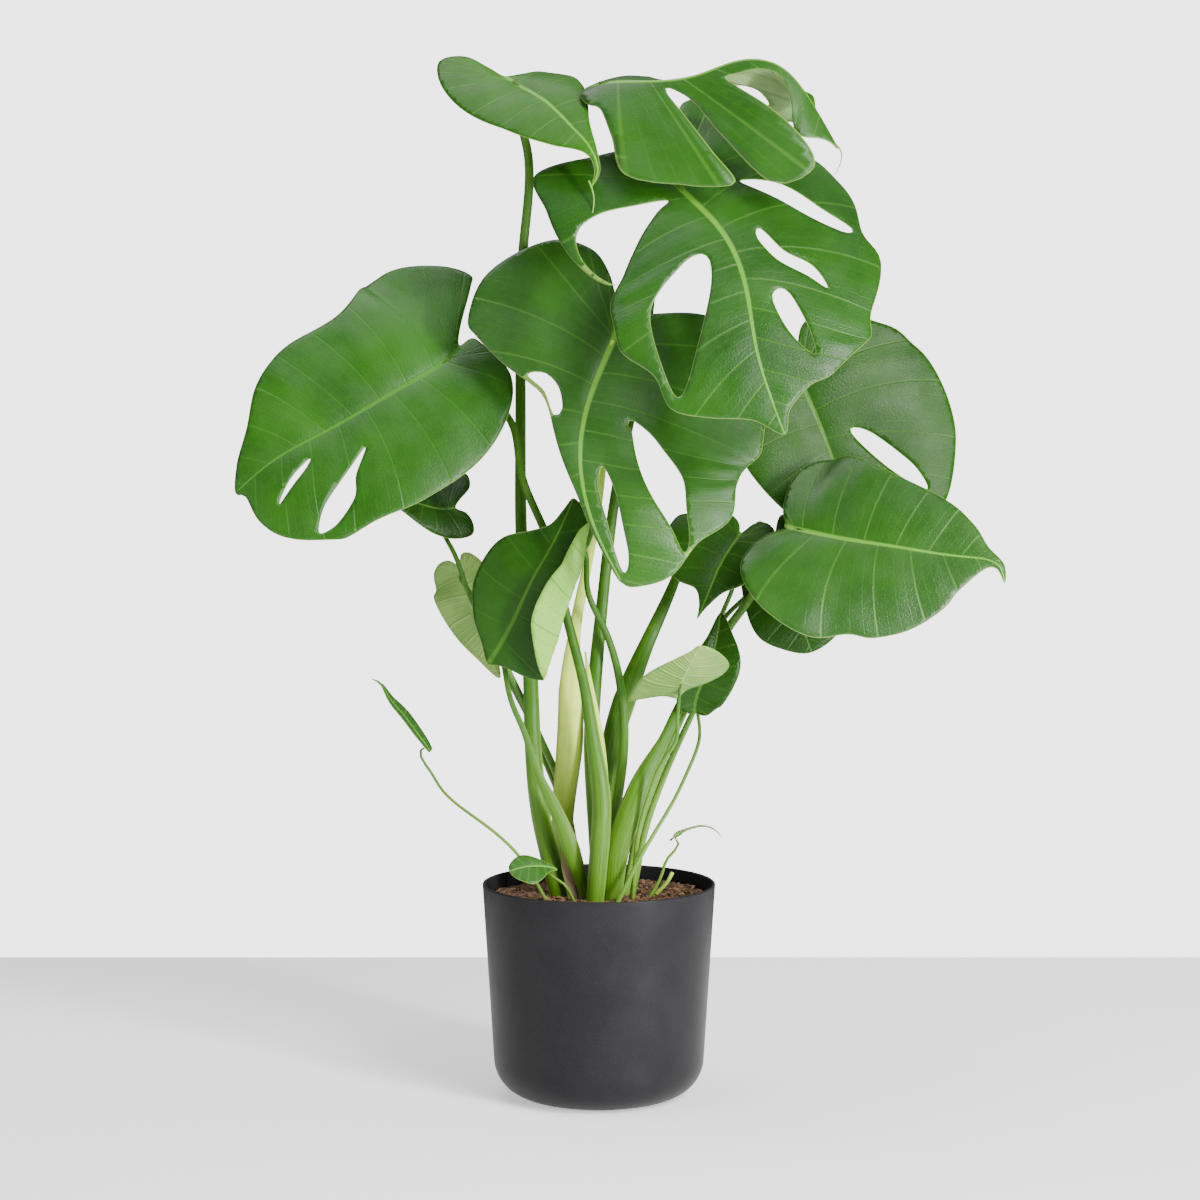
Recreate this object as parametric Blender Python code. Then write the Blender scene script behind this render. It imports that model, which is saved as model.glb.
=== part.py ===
"""A potted monstera plant.

Lengths are in metres, +Z is up, the pot's foot stands on z = 0 and its axis is the Z axis.
The plant's routes are written in millimetres from the middle of the soil's surface, so the
plant moves with the soil when the pot changes. Every leaf is a flat outline, given by its
width to the right and left of the midrib, that is laid over a bent and folded surface.
"""

import math
from dataclasses import dataclass

import bpy
import numpy as np
from mathutils import Vector
from mathutils.geometry import delaunay_2d_cdt

MM = 0.001
GAP = 0.3 * MM

POT_HEIGHT = 173 * MM
RIM_RADIUS = 95 * MM
FOOT_RADIUS = 86 * MM
CORNER_RADIUS = 30 * MM
POT_WALL = 2.4 * MM
POT_SIDES = 40

SOIL_BELOW_RIM = 12 * MM
SOIL_TOP = POT_HEIGHT - SOIL_BELOW_RIM
SOIL_WAVE = 1.2 * MM
ROOT_DEPTH = 18 * MM

PLANT_SCALE = 1.0
STEM_SCALE = 1.0
LEAF_THICKNESS = 1.0 * MM
BRACT_DEPTH = 1.4 * MM
ROLL_WIDTH = 9.0
RING_SPACING = 24 * MM
STEM_TAPER = 0.8
ROOT_TAPER = 0.9
KNEE_LENGTH = 3.5
LIP_SHOULDER = 0.35
LIP_DROP = 0.15

LEAF_GREEN = (0.045, 0.16, 0.03)
DARK_GREEN = (0.025, 0.09, 0.03)
PALE_GREEN = (0.22, 0.36, 0.12)
STEM_GREEN = (0.16, 0.34, 0.05)
SHEATH_GREEN = (0.36, 0.5, 0.14)
PAPER_BROWN = (0.5, 0.36, 0.25)
POT_GREY = (0.045, 0.044, 0.047)
SOIL_BROWN = (0.09, 0.045, 0.025)


@dataclass
class Leaf:
    """One leaf. Outline points are (distance from the midrib, distance along it from the joint).

    spine: the midrib in space: heel, joint, then on to the tip.
    face: the way the upper side looks, evenly along the spine.
    fold and curl: for the right and the left half, evenly from heel to tip. Fold is in
    degrees up from the face's plane, and curl is in degrees for each 100 mm of width.
    holes: closed outlines, with the right half's distances positive.
    lean: how far forward of square the side veins run for each unit of width, evenly from heel
    to tip. A place along the midrib is where its side vein starts.
    roll: how far from the midrib the right half starts to roll over, evenly from heel to tip.
    """

    spine: tuple
    face: tuple
    fold: tuple
    curl: tuple
    right: tuple
    left: tuple
    holes: tuple = ()
    lean: tuple = (0.0, 0.0)
    step: float = 17.0
    colour: tuple = LEAF_GREEN
    roll: tuple = ()


@dataclass
class Stem:
    """A stem: stations of (x, y, z, half width), and the leaf that it carries, if any.

    depth is the sheath's thickness as a part of its width, where the stem is wider than round.
    """

    stations: tuple
    leaf: str = ""
    depth: float = 1.0
    sides: int = 8
    colour: tuple = STEM_GREEN


LEAVES = {
    "leaf_left": Leaf(
        spine=((-104, 22, 456), (-120, 12, 440), (-156, -5, 416), (-221, -30, 377), (-257, -42, 356),
               (-287, -50, 330)),
        face=((-0.15, -0.92, 0.36), (-0.15, -0.93, 0.34), (-0.15, -0.93, 0.30)),
        fold=((5, 8, 8, 4), (5, 8, 10, 8)),
        curl=((-15, -18, -18, -20), (-15, -18, -20, -20)),
        right=((3, -13), (14, -28), (32, -62), (41, -72), (68, -63), (99, -33), (102, 15), (86, 57),
               (84, 104), (76, 131), (62, 151), (35, 172), (16, 195)),
        left=((12, -25), (48, -17), (77, 10), (92, 43), (95, 91), (90, 127), (89, 163), (75, 192),
              (55, 209), (32, 213), (9, 207)),
        holes=(((-31, 105), (-48, 123), (-65, 134), (-76, 159), (-74, 182), (-61, 164), (-47, 136)),
               ((-16, 146), (-24, 158), (-34, 191), (-24, 172))),
    ),
    "leaf_centre": Leaf(
        spine=((18, -20, 469), (12, -27, 453), (-5, -46, 411), (-14, -64, 372), (-12, -82, 333),
               (-1, -96, 298), (18, -104, 261)),
        face=((0, -0.92, 0.38), (0, -0.93, 0.36), (0.05, -0.96, 0.25), (0.1, -0.97, 0.1)),
        fold=((2, 2, 0, -10, -20), (4, 4, 4, 4, 4)),
        curl=((-10, -12, -25, -60, -60), (-12, -12, -14, -16, -16)),
        right=((8, -31), (22, -54), (42, -70), (73, -70), (101, -48), (119, -17), (118, 22), (104, 34),
               (74, 48), (51, 56), (35, 65), (23, 86), (7, 134), (3, 173), (2, 205)),
        left=((6, -21), (20, -29), (60, -42), (99, -36), (129, -5), (142, 49), (138, 90), (128, 140),
              (107, 207), (67, 218), (36, 231), (9, 226)),
        holes=(((53, 51), (40, 47), (26, 55), (19, 70), (24, 76), (36, 60)),
               ((-18, 118), (-24, 150), (-16, 197), (-5, 210), (-11, 168), (-12, 133)),
               ((-38, 68), (-60, 88), (-78, 142), (-68, 200), (-54, 219), (-54, 184), (-41, 89),
                (-35, 75))),
        step=18.0,
    ),
    "leaf_front": Leaf(
        spine=((48, -30, 591), (61, -45, 573), (94, -75, 535), (112, -105, 489), (119, -130, 439),
               (139, -148, 375)),
        face=((0.05, -0.65, 0.75), (0.05, -0.8, 0.6), (0.05, -0.93, 0.38), (0.05, -0.97, 0.2)),
        fold=((0, 0), (0, 0)),
        curl=((-25, -25, -20, -10, -5), (-14, -18, -18, -16, -10)),
        right=((6, -40), (19, -51), (46, -56), (92, -65), (101, -28), (107, 4), (105, 30), (94, 64),
               (102, 26), (99, 6), (87, -4), (66, -5), (42, 2), (17, 12), (32, 17), (62, 31), (86, 53),
               (104, 100), (104, 145), (100, 161), (80, 178), (74, 200), (50, 213), (19, 225)),
        left=((9, -34), (36, -66), (60, -92), (86, -84), (130, -22), (143, 14), (132, 53), (114, 81),
              (118, 101), (97, 140), (89, 176), (53, 207), (33, 212), (11, 226)),
        holes=(((36, 78), (21, 85), (35, 142), (51, 178), (66, 194), (72, 176), (76, 136), (64, 105)),
               ((-46, 24), (-74, 37), (-91, 63), (-106, 79), (-95, 80), (-70, 62)),
               ((-29, 69), (-39, 90), (-58, 104), (-65, 121), (-52, 112), (-31, 97), (-23, 77)),
               ((-24, 122), (-33, 126), (-43, 157), (-43, 186), (-28, 161), (-19, 132))),
        step=17.0,
    ),
    "leaf_top": Leaf(
        spine=((-11, -12, 653), (-1, -20, 655), (40, -36, 655), (79, -45, 659), (112, -50, 669),
               (139, -52, 665), (165, -55, 637), (187, -58, 599)),
        face=((0, -0.55, 0.83), (0, -0.55, 0.83), (0, -0.55, 0.83), (0.1, -0.55, 0.83), (0.5, -0.5, 0.7),
              (0.6, -0.5, 0.5)),
        fold=((-5, -30, -38, -38, -30, -20, -5), (-10, -14, -50, -80, -90, -85, -50)),
        curl=((-20, -25, -25, -25, -25, -20, 0), (-25, -25, -25, -25, -30, -30, -20)),
        lean=(-0.6, 0.5, 1.0, 1.1, 1.0, 0.8, 0.6),
        right=((24, 2), (30, 10), (54, 15), (86, 18), (88, 31), (89, 41), (86, 50), (61, 50), (29, 50),
               (12, 50), (8, 54), (20, 60), (49, 58), (90, 59), (92, 70), (85, 76), (66, 81), (43, 85),
               (21, 88), (11, 92), (12, 106), (9, 134), (10, 147), (26, 158), (29, 175), (26, 190),
               (14, 208), (6, 220)),
        left=((9, -7), (20, -1), (29, 3), (34, 9), (25, 20), (23, 34), (48, 48), (74, 58), (82, 70),
              (74, 84), (54, 98), (50, 112), (46, 132), (34, 158), (26, 178), (13, 198), (4, 212)),
        holes=(((-26, 82), (-34, 84), (-43, 81), (-55, 73), (-50, 67), (-36, 72)),),
        step=16.0,
    ),
    "leaf_top_left": Leaf(
        spine=((-76, 12, 666), (-69, 4, 660), (-43, -22, 641), (-20, -45, 616), (-5, -58, 596),
               (-1, -60, 580), (-7, -56, 568)),
        face=((0.1, -0.6, 0.8), (0.15, -0.7, 0.7), (0.2, -0.8, 0.5), (0.4, -0.85, 0.3)),
        fold=((-5, -5, -5, -5, 0), (10, 15, 15, 10, 0)),
        curl=((-45, -40, -30, -15, 0), (-70, -70, -60, -40, 0)),
        right=((3, -30), (9, -58), (28, -68), (44, -42), (50, 0), (42, 55), (24, 89), (6, 110), (3, 125)),
        left=((14, -6), (32, -5), (46, 12), (38, 42), (14, 85), (4, 112), (2, 128)),
        step=16.0,
    ),
    "leaf_back": Leaf(
        spine=((164, 74, 437), (168, 70, 425), (184, 60, 385), (200, 52, 340), (221, 46, 286)),
        face=((0.1, -0.93, 0.35), (0.1, -0.95, 0.3), (0.1, -0.97, 0.2)),
        fold=((5, 5), (5, 5)),
        curl=((-12, -12), (-12, -12)),
        right=((13, -27), (38, -15), (57, 11), (71, 47), (70, 68), (55, 100), (32, 128)),
        left=((17, -45), (49, -53), (75, -35), (100, -15), (114, 33), (108, 91), (80, 140), (38, 157)),
        holes=(((-23, 58), (-39, 63), (-63, 100), (-67, 126), (-46, 102)),),
        step=16.0,
        colour=DARK_GREEN,
    ),
    "leaf_right": Leaf(
        spine=((149, -12, 303), (158, -18, 301), (192, -34, 294), (238, -50, 287), (288, -62, 280),
               (314, -70, 272), (317, -74, 260)),
        face=((0.15, -0.75, 0.65), (0.15, -0.85, 0.5), (0.15, -0.88, 0.45), (0.1, -0.9, 0.4)),
        fold=((6, 8, 6, 4, 0), (16, 14, 8, 4, 0)),
        curl=((-20, -20, -20, -20, -10), (-20, -22, -20, -20, -10)),
        right=((1, -7), (20, -20), (51, -21), (73, -5), (89, 15), (96, 41), (85, 66), (83, 84), (70, 108),
               (47, 129), (30, 138), (12, 154), (4, 165)),
        left=((4, -12), (18, -21), (51, -28), (76, -17), (81, 17), (67, 64), (48, 117), (30, 142),
              (10, 156), (4, 170)),
        step=16.0,
    ),
    "leaf_under_left": Leaf(
        spine=((-118, 36, 317), (-125, 32, 316), (-142, 22, 319), (-162, 12, 324), (-178, 4, 325)),
        face=((0, -0.6, 0.8), (0, -0.6, 0.8)),
        fold=((12, 10, 5, 0), (-15, -20, -20, -10)),
        curl=((-20, -20), (-90, -80, -60, -40)),
        right=((8, -16), (20, -31), (36, -36), (41, -24), (38, -4), (21, 33)),
        left=((7, -15), (18, -17), (27, -13), (28, 0), (22, 18), (13, 38)),
        step=9.0,
        colour=DARK_GREEN,
    ),
    "leaf_pale_left": Leaf(
        spine=((-116, 38, 270), (-112, 36, 263), (-105, 31, 237), (-94, 26, 204), (-82, 22, 177)),
        face=((0.2, 0.9, 0.35), (0.2, 0.92, 0.3), (0.2, 0.95, 0.2)),
        fold=((10, 10, 0), (10, 10, 0)),
        curl=((20, 20), (20, 20)),
        right=((6, -14), (13, -12), (20, 4), (22, 28), (15, 55), (6, 79)),
        left=((7, -17), (19, -20), (31, -14), (37, 9), (26, 42), (12, 69)),
        step=10.0,
        colour=PALE_GREEN,
    ),
    "leaf_rolled": Leaf(
        spine=((-89, -34, 193), (-85, -36, 199), (-67, -44, 231), (-53, -50, 261), (-37, -50, 289),
               (-20, -40, 326)),
        face=((-0.1, -0.95, 0.25), (-0.1, -0.95, 0.25), (-0.1, -0.95, 0.2)),
        fold=((-5, 0, 5, 5, 0), (5, 5)),
        curl=((1700, 1700), (-25, -25)),
        right=((12, -1), (36, 4), (52, 14), (62, 30), (67, 50), (62, 75), (50, 100), (30, 125), (12, 139)),
        left=((4, -5), (12, 3), (30, 20), (42, 45), (43, 71), (37, 90), (22, 105), (9, 118), (4, 134)),
        roll=(45, 40, 36, 34, 30, 20, 13),
        step=10.0,
    ),
    "leaf_young": Leaf(
        spine=((-20, -14, 279), (-18, -14, 283), (-10, -18, 305), (-6, -22, 326), (0, -28, 359)),
        face=((-0.5, -0.8, 0.2), (-0.5, -0.8, 0.2)),
        fold=((10, 10), (10, 10)),
        curl=((30, 30), (30, 30)),
        right=((6, -2), (11, 10), (11, 32), (6, 60)),
        left=((6, -2), (11, 10), (11, 32), (6, 60)),
        step=9.0,
        colour=PALE_GREEN,
    ),
    "leaf_mid_right": Leaf(
        spine=((116, 16, 297), (113, 12, 293), (104, 4, 281), (95, -4, 265), (87, -11, 246),
               (79, -15, 228)),
        face=((0, -0.8, 0.6), (0, -0.88, 0.5), (0, -0.93, 0.35)),
        fold=((8, 8, 4, 0), (8, 8, 4, 0)),
        curl=((-40, -35, -30, -20), (-40, -35, -30, -20)),
        right=((5, -14), (16, -19), (41, -11), (52, 4), (53, 22), (45, 40), (28, 54), (11, 56), (3, 68)),
        left=((5, -20), (14, -26), (24, -21), (32, -7), (34, 13), (25, 38), (11, 52), (3, 68)),
        step=10.0,
        colour=DARK_GREEN,
    ),
    "leaf_dark_right": Leaf(
        spine=((145, 52, 292), (147, 48, 285), (155, 38, 257), (164, 30, 229), (175, 26, 198)),
        face=((0, -0.8, 0.6), (0, -0.88, 0.5), (0, -0.93, 0.35)),
        fold=((8, 8, 4, 0), (8, 8, 4, 0)),
        curl=((-20, -20), (-20, -20)),
        right=((4, -24), (14, -22), (33, 6), (40, 40), (38, 67), (22, 84)),
        left=((12, -27), (31, -14), (46, 25), (45, 62), (28, 86)),
        step=10.0,
        colour=DARK_GREEN,
    ),
    "leaf_low_right": Leaf(
        spine=((78, 6, 150), (78, 4, 156), (85, -2, 178), (93, -2, 202), (99, 6, 232)),
        face=((0.1, -0.93, 0.3), (0.1, -0.95, 0.2), (0.1, -0.9, 0.1)),
        fold=((10, 10, 8, 5), (10, 10, 10, 30)),
        curl=((-10, -10), (-10, -10)),
        right=((10, -9), (20, 2), (25, 28), (24, 46), (13, 65)),
        left=((5, -6), (13, -2), (18, 12), (17, 35), (9, 56)),
        step=9.0,
        colour=DARK_GREEN,
    ),
    "leaf_pale_right": Leaf(
        spine=((63, -22, 165), (64, -25, 170), (71, -36, 189), (81, -46, 209)),
        face=((0, 0.85, 0.5), (0, 0.85, 0.5)),
        fold=((5, 5), (5, 5)),
        curl=((20, 20), (40, 40, 20)),
        right=((12, -7), (29, -15), (38, -20), (36, -6), (30, 6), (16, 24), (6, 38)),
        left=((6, 3), (20, 14), (30, 27), (30, 39), (16, 47)),
        step=9.0,
        colour=PALE_GREEN,
    ),
    "leaf_tiny_left": Leaf(
        spine=((-137, 0, 119), (-139, 0, 122), (-149, -2, 136), (-160, -4, 151), (-171, -6, 165),
               (-178, -6, 176), (-184, -6, 179)),
        face=((0.75, -0.25, 0.6), (0.75, -0.25, 0.6)),
        fold=((5, 5), (5, 5)),
        curl=((20, 20), (20, 20)),
        right=((5, -3), (9, 6), (11, 24), (9, 44), (3, 64)),
        left=((5, -3), (9, 6), (11, 24), (9, 44), (3, 64)),
        step=9.0,
    ),
    "leaf_tiny_rim": Leaf(
        spine=((-33, -42, 29), (-37, -44, 31), (-47, -48, 33), (-59, -52, 33), (-71, -56, 30)),
        face=((0, -0.75, 0.65), (0, -0.75, 0.65)),
        fold=((5, 5), (5, 5)),
        curl=((-30, -30), (-30, -30)),
        right=((3, 3), (7, 12), (11, 24), (6, 34)),
        left=((5, 3), (15, 14), (17, 24), (9, 34)),
        step=8.0,
    ),
    "leaf_tiny_right": Leaf(
        spine=((58, -1, 46), (60, 0, 48), (69, -2, 54), (80, -3, 58), (89, -4, 58), (96, -4, 54),
               (100, -4, 50)),
        face=((0, 0.15, 1), (0.3, 0.15, 0.9)),
        fold=((5, 5), (5, 5)),
        curl=((20, 20), (20, 20)),
        right=((5, 2), (8, 12), (7, 28), (3, 38)),
        left=((5, 2), (8, 12), (7, 28), (3, 38)),
        step=8.0,
        colour=PALE_GREEN,
    ),
}

STEMS = {
    "stem_top_left": Stem(
        ((-37, 2, 20, 7.9), (-47, 2, 64, 7.9), (-53, 3, 112, 7), (-56, 5, 185, 6.1), (-63, 10, 291, 4.9),
         (-64, 15, 348, 4.5), (-64, 21, 421, 4.3), (-61, 22, 535, 3.9), (-58, 16, 607, 3.6)),
        "leaf_top_left",
    ),
    "stem_left": Stem(
        ((-2, -28, 14, 7.5), (1, -28, 51, 8), (2, -27, 86, 7.7), (-3, -26, 121, 6.2), (-12, -24, 176, 4.2),
         (-28, -20, 239, 3.6), (-42, -16, 295, 3.3), (-63, -10, 348, 3.1), (-76, 6, 394, 2.9)),
        "leaf_left",
    ),
    "stem_centre": Stem(
        ((-28, 28, 4, 6), (-30, 24, 60, 9), (-24, 16, 123, 11), (-23, 12, 168, 10), (-20, 8, 214, 5),
         (-6, 0, 287, 3.4), (4, -4, 364, 3.2)),
        "leaf_centre",
        depth=0.5,
        colour=SHEATH_GREEN,
    ),
    "stem_front": Stem(
        ((0, 4, 8, 6), (-4, 6, 79, 6.5), (-6, 8, 128, 6.5), (-4, 10, 169, 6), (3, 10, 242, 4.8),
         (13, 8, 325, 4.2), (25, 10, 388, 4), (41, 10, 478, 3.6), (50, -6, 532, 3.4)),
        "leaf_front",
    ),
    "stem_back": Stem(
        ((12, 32, 3, 6), (8, 28, 76, 6.5), (11, 24, 122, 9), (21, 20, 159, 9.5), (39, 20, 205, 6.2),
         (63, 32, 258, 4), (87, 46, 323, 3.8), (135, 70, 383, 3.5)),
        "leaf_back",
        depth=0.6,
    ),
    "stem_right": Stem(
        ((12, -18, 12, 8), (16, -18, 44, 9.5), (25, -17, 70, 10.5), (33, -15, 93, 8.5), (53, -2, 129, 4.6),
         (68, 14, 158, 4.1), (83, 22, 181, 4), (109, 26, 222, 3.6), (126, 24, 246, 3.4),
         (144, 12, 275, 3.2)),
        "leaf_right",
        depth=0.55,
    ),
    "stem_under_left": Stem(
        ((-15, 34, 3, 3.2), (-32, 31, 88, 3.2), (-44, 24, 118, 3), (-62, 14, 159, 2.6), (-93, 4, 222, 2.2),
         (-107, 8, 250, 2.1), (-120, 20, 283, 2)),
        "leaf_under_left",
        sides=6,
    ),
    "stem_rolled": Stem(
        ((-13, -16, 12, 5), (-23, -18, 43, 7.5), (-34, -19, 72, 5.5), (-52, -20, 111, 3),
         (-60, -20, 137, 2.6), (-73, -26, 173, 2.2)),
        "leaf_rolled",
        depth=0.5,
    ),
    "stem_pale_left": Stem(
        ((-22, 44, 1, 2.6), (-32, 40, 74, 2.5), (-45, 33, 108, 2.3), (-57, 27, 141, 2.1),
         (-77, 18, 184, 1.9), (-97, 18, 238, 1.7)),
        "leaf_pale_left",
        sides=6,
    ),
    "stem_young": Stem(
        ((7, 15, 6, 4), (14, 8, 72, 4.3), (19, 6, 108, 4.2), (19, 1, 162, 3.6), (2, -8, 225, 2.7),
         (-10, -12, 260, 2.3)),
        "leaf_young",
        sides=6,
    ),
    "stem_mid_right": Stem(
        ((23, 4, 8, 3), (31, 2, 50, 3), (43, 2, 87, 2.8), (62, 14, 131, 2.4), (84, 34, 180, 2.2),
         (103, 32, 233, 2), (112, 23, 262, 1.8)),
        "leaf_mid_right",
        sides=6,
    ),
    "stem_dark_right": Stem(
        ((29, 16, 6, 3), (37, 14, 49, 3), (49, 18, 85, 2.8), (69, 28, 130, 2.6), (88, 44, 174, 2.3),
         (102, 48, 222, 2.1), (126, 54, 246, 2)),
        "leaf_dark_right",
        sides=6,
    ),
    "stem_low_right": Stem(
        ((20, -34, 11, 1.8), (35, -28, 40, 1.7), (62, -10, 83, 1.5), (73, -2, 105, 1.5), (81, 6, 124, 1.5),
         (82, 12, 142, 1.4)),
        "leaf_low_right",
        sides=6,
    ),
    "stem_pale_right": Stem(
        ((28, -18, 10, 1.8), (31, -24, 50, 1.7), (42, -28, 93, 1.6), (52, -30, 116, 1.6),
         (62, -31, 132, 1.5), (63, -30, 151, 1.5)),
        "leaf_pale_right",
        sides=6,
    ),
    "stem_tiny_left": Stem(
        ((-48, -20, 10, 1.5), (-63, -22, 35, 1.4), (-97, -16, 65, 1.3), (-130, -5, 92, 1.2),
         (-137, -2, 103, 1.2)),
        "leaf_tiny_left",
        sides=6,
    ),
    "stem_tiny_rim": Stem(((-23, -34, 8, 1.3), (-29, -40, 18, 1.1)), "leaf_tiny_rim", sides=6),
    "stem_tiny_right": Stem(
        ((43, -2, 3, 1.4), (51, -2, 18, 1.3), (57, -1, 33, 1.2)),
        "leaf_tiny_right",
        sides=6,
    ),
    "stem_top": Stem(
        ((-2, 52, 2, 5), (6, 50, 73, 4.6), (13, 46, 119, 4.4), (23, 44, 157, 4.4), (41, 48, 203, 4.2),
         (64, 56, 256, 3.6), (84, 66, 310, 3.6), (101, 72, 365, 3.6), (108, 72, 423, 3.6),
         (106, 62, 481, 3.6), (93, 44, 537, 3.5), (74, 30, 568, 3.4), (45, 12, 592, 3.3), (19, -4, 612, 3)),
        "leaf_top",
    ),
    "bract_tall": Stem(
        ((4, -9, 10, 3), (3, -12, 40, 6), (2, -14, 81, 7), (-1, -15, 130, 5.5), (-6, -16, 167, 3),
         (-11, -16, 202, 0.8)),
        colour=SHEATH_GREEN,
    ),
    "bract_short": Stem(((-23, -12, 11, 4), (-26, -11, 28, 5), (-29, -11, 47, 0.8)), colour=PAPER_BROWN),
    "stub": Stem(((47, 4, 2, 1.6), (56, 2, 12, 1.6), (60, 0, 20, 1.5)), sides=6, colour=SHEATH_GREEN),
}


def clear_scene():
    for old in list(bpy.data.objects):
        bpy.data.objects.remove(old, do_unlink=True)


def material(name, colour, roughness):
    made = bpy.data.materials.new(name)
    made.use_nodes = True
    shader = made.node_tree.nodes["Principled BSDF"]
    shader.inputs["Base Color"].default_value = (*colour, 1.0)
    shader.inputs["Roughness"].default_value = roughness
    shader.inputs["Metallic"].default_value = 0.0
    return made


def add_object(name, points, faces, colour=STEM_GREEN, roughness=0.45):
    mesh = bpy.data.meshes.new(name)
    mesh.from_pydata([tuple(point) for point in points], [], faces)
    mesh.materials.append(material(name, colour, roughness))
    for face in mesh.polygons:
        face.use_smooth = True
    made = bpy.data.objects.new(name, mesh)
    bpy.context.scene.collection.objects.link(made)
    return made


def to_plant(point):
    """Millimetres from the middle of the soil's surface, to metres in the scene."""
    return np.asarray(point, float) * MM * PLANT_SCALE + (0.0, 0.0, SOIL_TOP)


def smooth_curve(points):
    """A natural cubic through the points. It returns a function of the distance along their chords."""
    points = np.asarray(points, float)
    knots = np.concatenate([[0.0], np.cumsum(np.linalg.norm(np.diff(points, axis=0), axis=1))])
    widths = np.diff(knots)
    count = len(knots)
    matrix = np.eye(count)
    right = np.zeros_like(points)
    for i in range(1, count - 1):
        matrix[i, i - 1 : i + 2] = widths[i - 1], 2 * (widths[i - 1] + widths[i]), widths[i]
        right[i] = 6 * ((points[i + 1] - points[i]) / widths[i] - (points[i] - points[i - 1]) / widths[i - 1])
    bends = np.linalg.solve(matrix, right)

    def at(distance):
        distance = np.clip(distance, 0.0, knots[-1])
        i = np.clip(np.searchsorted(knots, distance) - 1, 0, count - 2)
        width = widths[i][:, None]
        before = (distance - knots[i])[:, None]
        after = (knots[i + 1] - distance)[:, None]
        cubic = (bends[i] * after**3 + bends[i + 1] * before**3) / (6 * width)
        line = (points[i] / width - bends[i] * width / 6) * after
        return cubic + line + (points[i + 1] / width - bends[i + 1] * width / 6) * before

    return knots, at


def unit(vectors):
    return vectors / np.linalg.norm(vectors, axis=-1, keepdims=True)


def along(values, part):
    """Values given evenly from the start to the end, read at a part of the way."""
    values = np.asarray(values, float)
    places = np.linspace(0.0, 1.0, len(values))
    if values.ndim == 1:
        return np.interp(part, places, values)
    return np.stack([np.interp(part, places, column) for column in values.T], -1)


class Blade:
    """The bent surface of a leaf: it places (across, along) in millimetres into the scene."""

    SAMPLES = 300

    def __init__(self, leaf):
        self.leaf = leaf
        knots, curve = smooth_curve(leaf.spine)
        distance = np.linspace(0.0, knots[-1], self.SAMPLES)
        self.points = curve(distance)
        arc = np.concatenate([[0.0], np.cumsum(np.linalg.norm(np.diff(self.points, axis=0), axis=1))])
        self.arc = arc - np.interp(knots[1], distance, arc)
        self.faces = along(leaf.face, distance / knots[-1])
        self.tangents = unit(np.gradient(self.points, axis=0))
        self.heel, self.tip = self.arc[0], self.arc[-1]

    def read(self, rows, place):
        return np.stack([np.interp(place, self.arc, column) for column in rows.T], -1)

    def frame(self, v):
        place = np.clip(v, self.heel, self.tip)
        forward = unit(self.read(self.tangents, place))
        face = self.read(self.faces, place)
        face = unit(face - (face * forward).sum(-1, keepdims=True) * forward)
        middle = self.read(self.points, place) + forward * (v - place)[..., None]
        return middle, forward, face, np.cross(forward, face), place

    def place(self, u, v):
        """Points of the middle surface, in plant millimetres."""
        middle, forward, face, side, place = self.frame(v)
        part = (place - self.heel) / (self.tip - self.heel)
        on_right = u >= 0
        leaf = self.leaf
        fold = np.radians(np.where(on_right, along(leaf.fold[0], part), along(leaf.fold[1], part)))
        curl = np.radians(np.where(on_right, along(leaf.curl[0], part), along(leaf.curl[1], part))) / 100.0
        curl = np.where(np.abs(curl) < 1e-6, 1e-6, curl)
        width = np.abs(u)
        middle = middle + forward * (along(leaf.lean, part) * width)[..., None]
        rolled = on_right & bool(leaf.roll)
        start = np.where(rolled, along(leaf.roll or (0, 0), part), 0.0)
        inner = np.minimum(width, start)
        bent = np.maximum(width - start, 0.0)
        outer = np.where(rolled, np.maximum(bent - ROLL_WIDTH, 0.0), 0.0)
        bent = bent - outer
        turned = fold + curl * bent
        sideways = inner * np.cos(fold) + (np.sin(turned) - np.sin(fold)) / curl + outer * np.cos(turned)
        upwards = inner * np.sin(fold) + (np.cos(fold) - np.cos(turned)) / curl + outer * np.sin(turned)
        return middle + side * (np.sign(u) * sideways)[..., None] + face * upwards[..., None]

    def normal(self, u, v, reach=0.5):
        across = self.place(u + reach, v) - self.place(u - reach, v)
        forward = self.place(u, v + reach) - self.place(u, v - reach)
        return unit(np.cross(across, forward))


def closed_curve(points, step):
    """A rounded closed line through the points, with samples about a step apart."""
    points = np.asarray(points, float)
    count = len(points)
    samples = []
    for i in range(count):
        before, start, end, after = (points[(i + k) % count] for k in (-1, 0, 1, 2))
        pieces = max(1, round(float(np.linalg.norm(end - start)) / step))
        for t in np.arange(pieces) / pieces:
            samples.append(
                0.5 * (2 * start + (end - before) * t + (2 * before - 5 * start + 4 * end - after) * t**2
                       + (3 * start - before - 3 * end + after) * t**3)
            )
    return np.array(samples)


def inside(points, loop):
    """Which points lie inside a closed loop."""
    found = np.zeros(len(points), bool)
    for (x0, y0), (x1, y1) in zip(loop, np.roll(loop, -1, axis=0)):
        if y0 == y1:
            continue
        crosses = (y0 > points[:, 1]) != (y1 > points[:, 1])
        found ^= crosses & (points[:, 0] < x0 + (points[:, 1] - y0) * (x1 - x0) / (y1 - y0))
    return found


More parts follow.
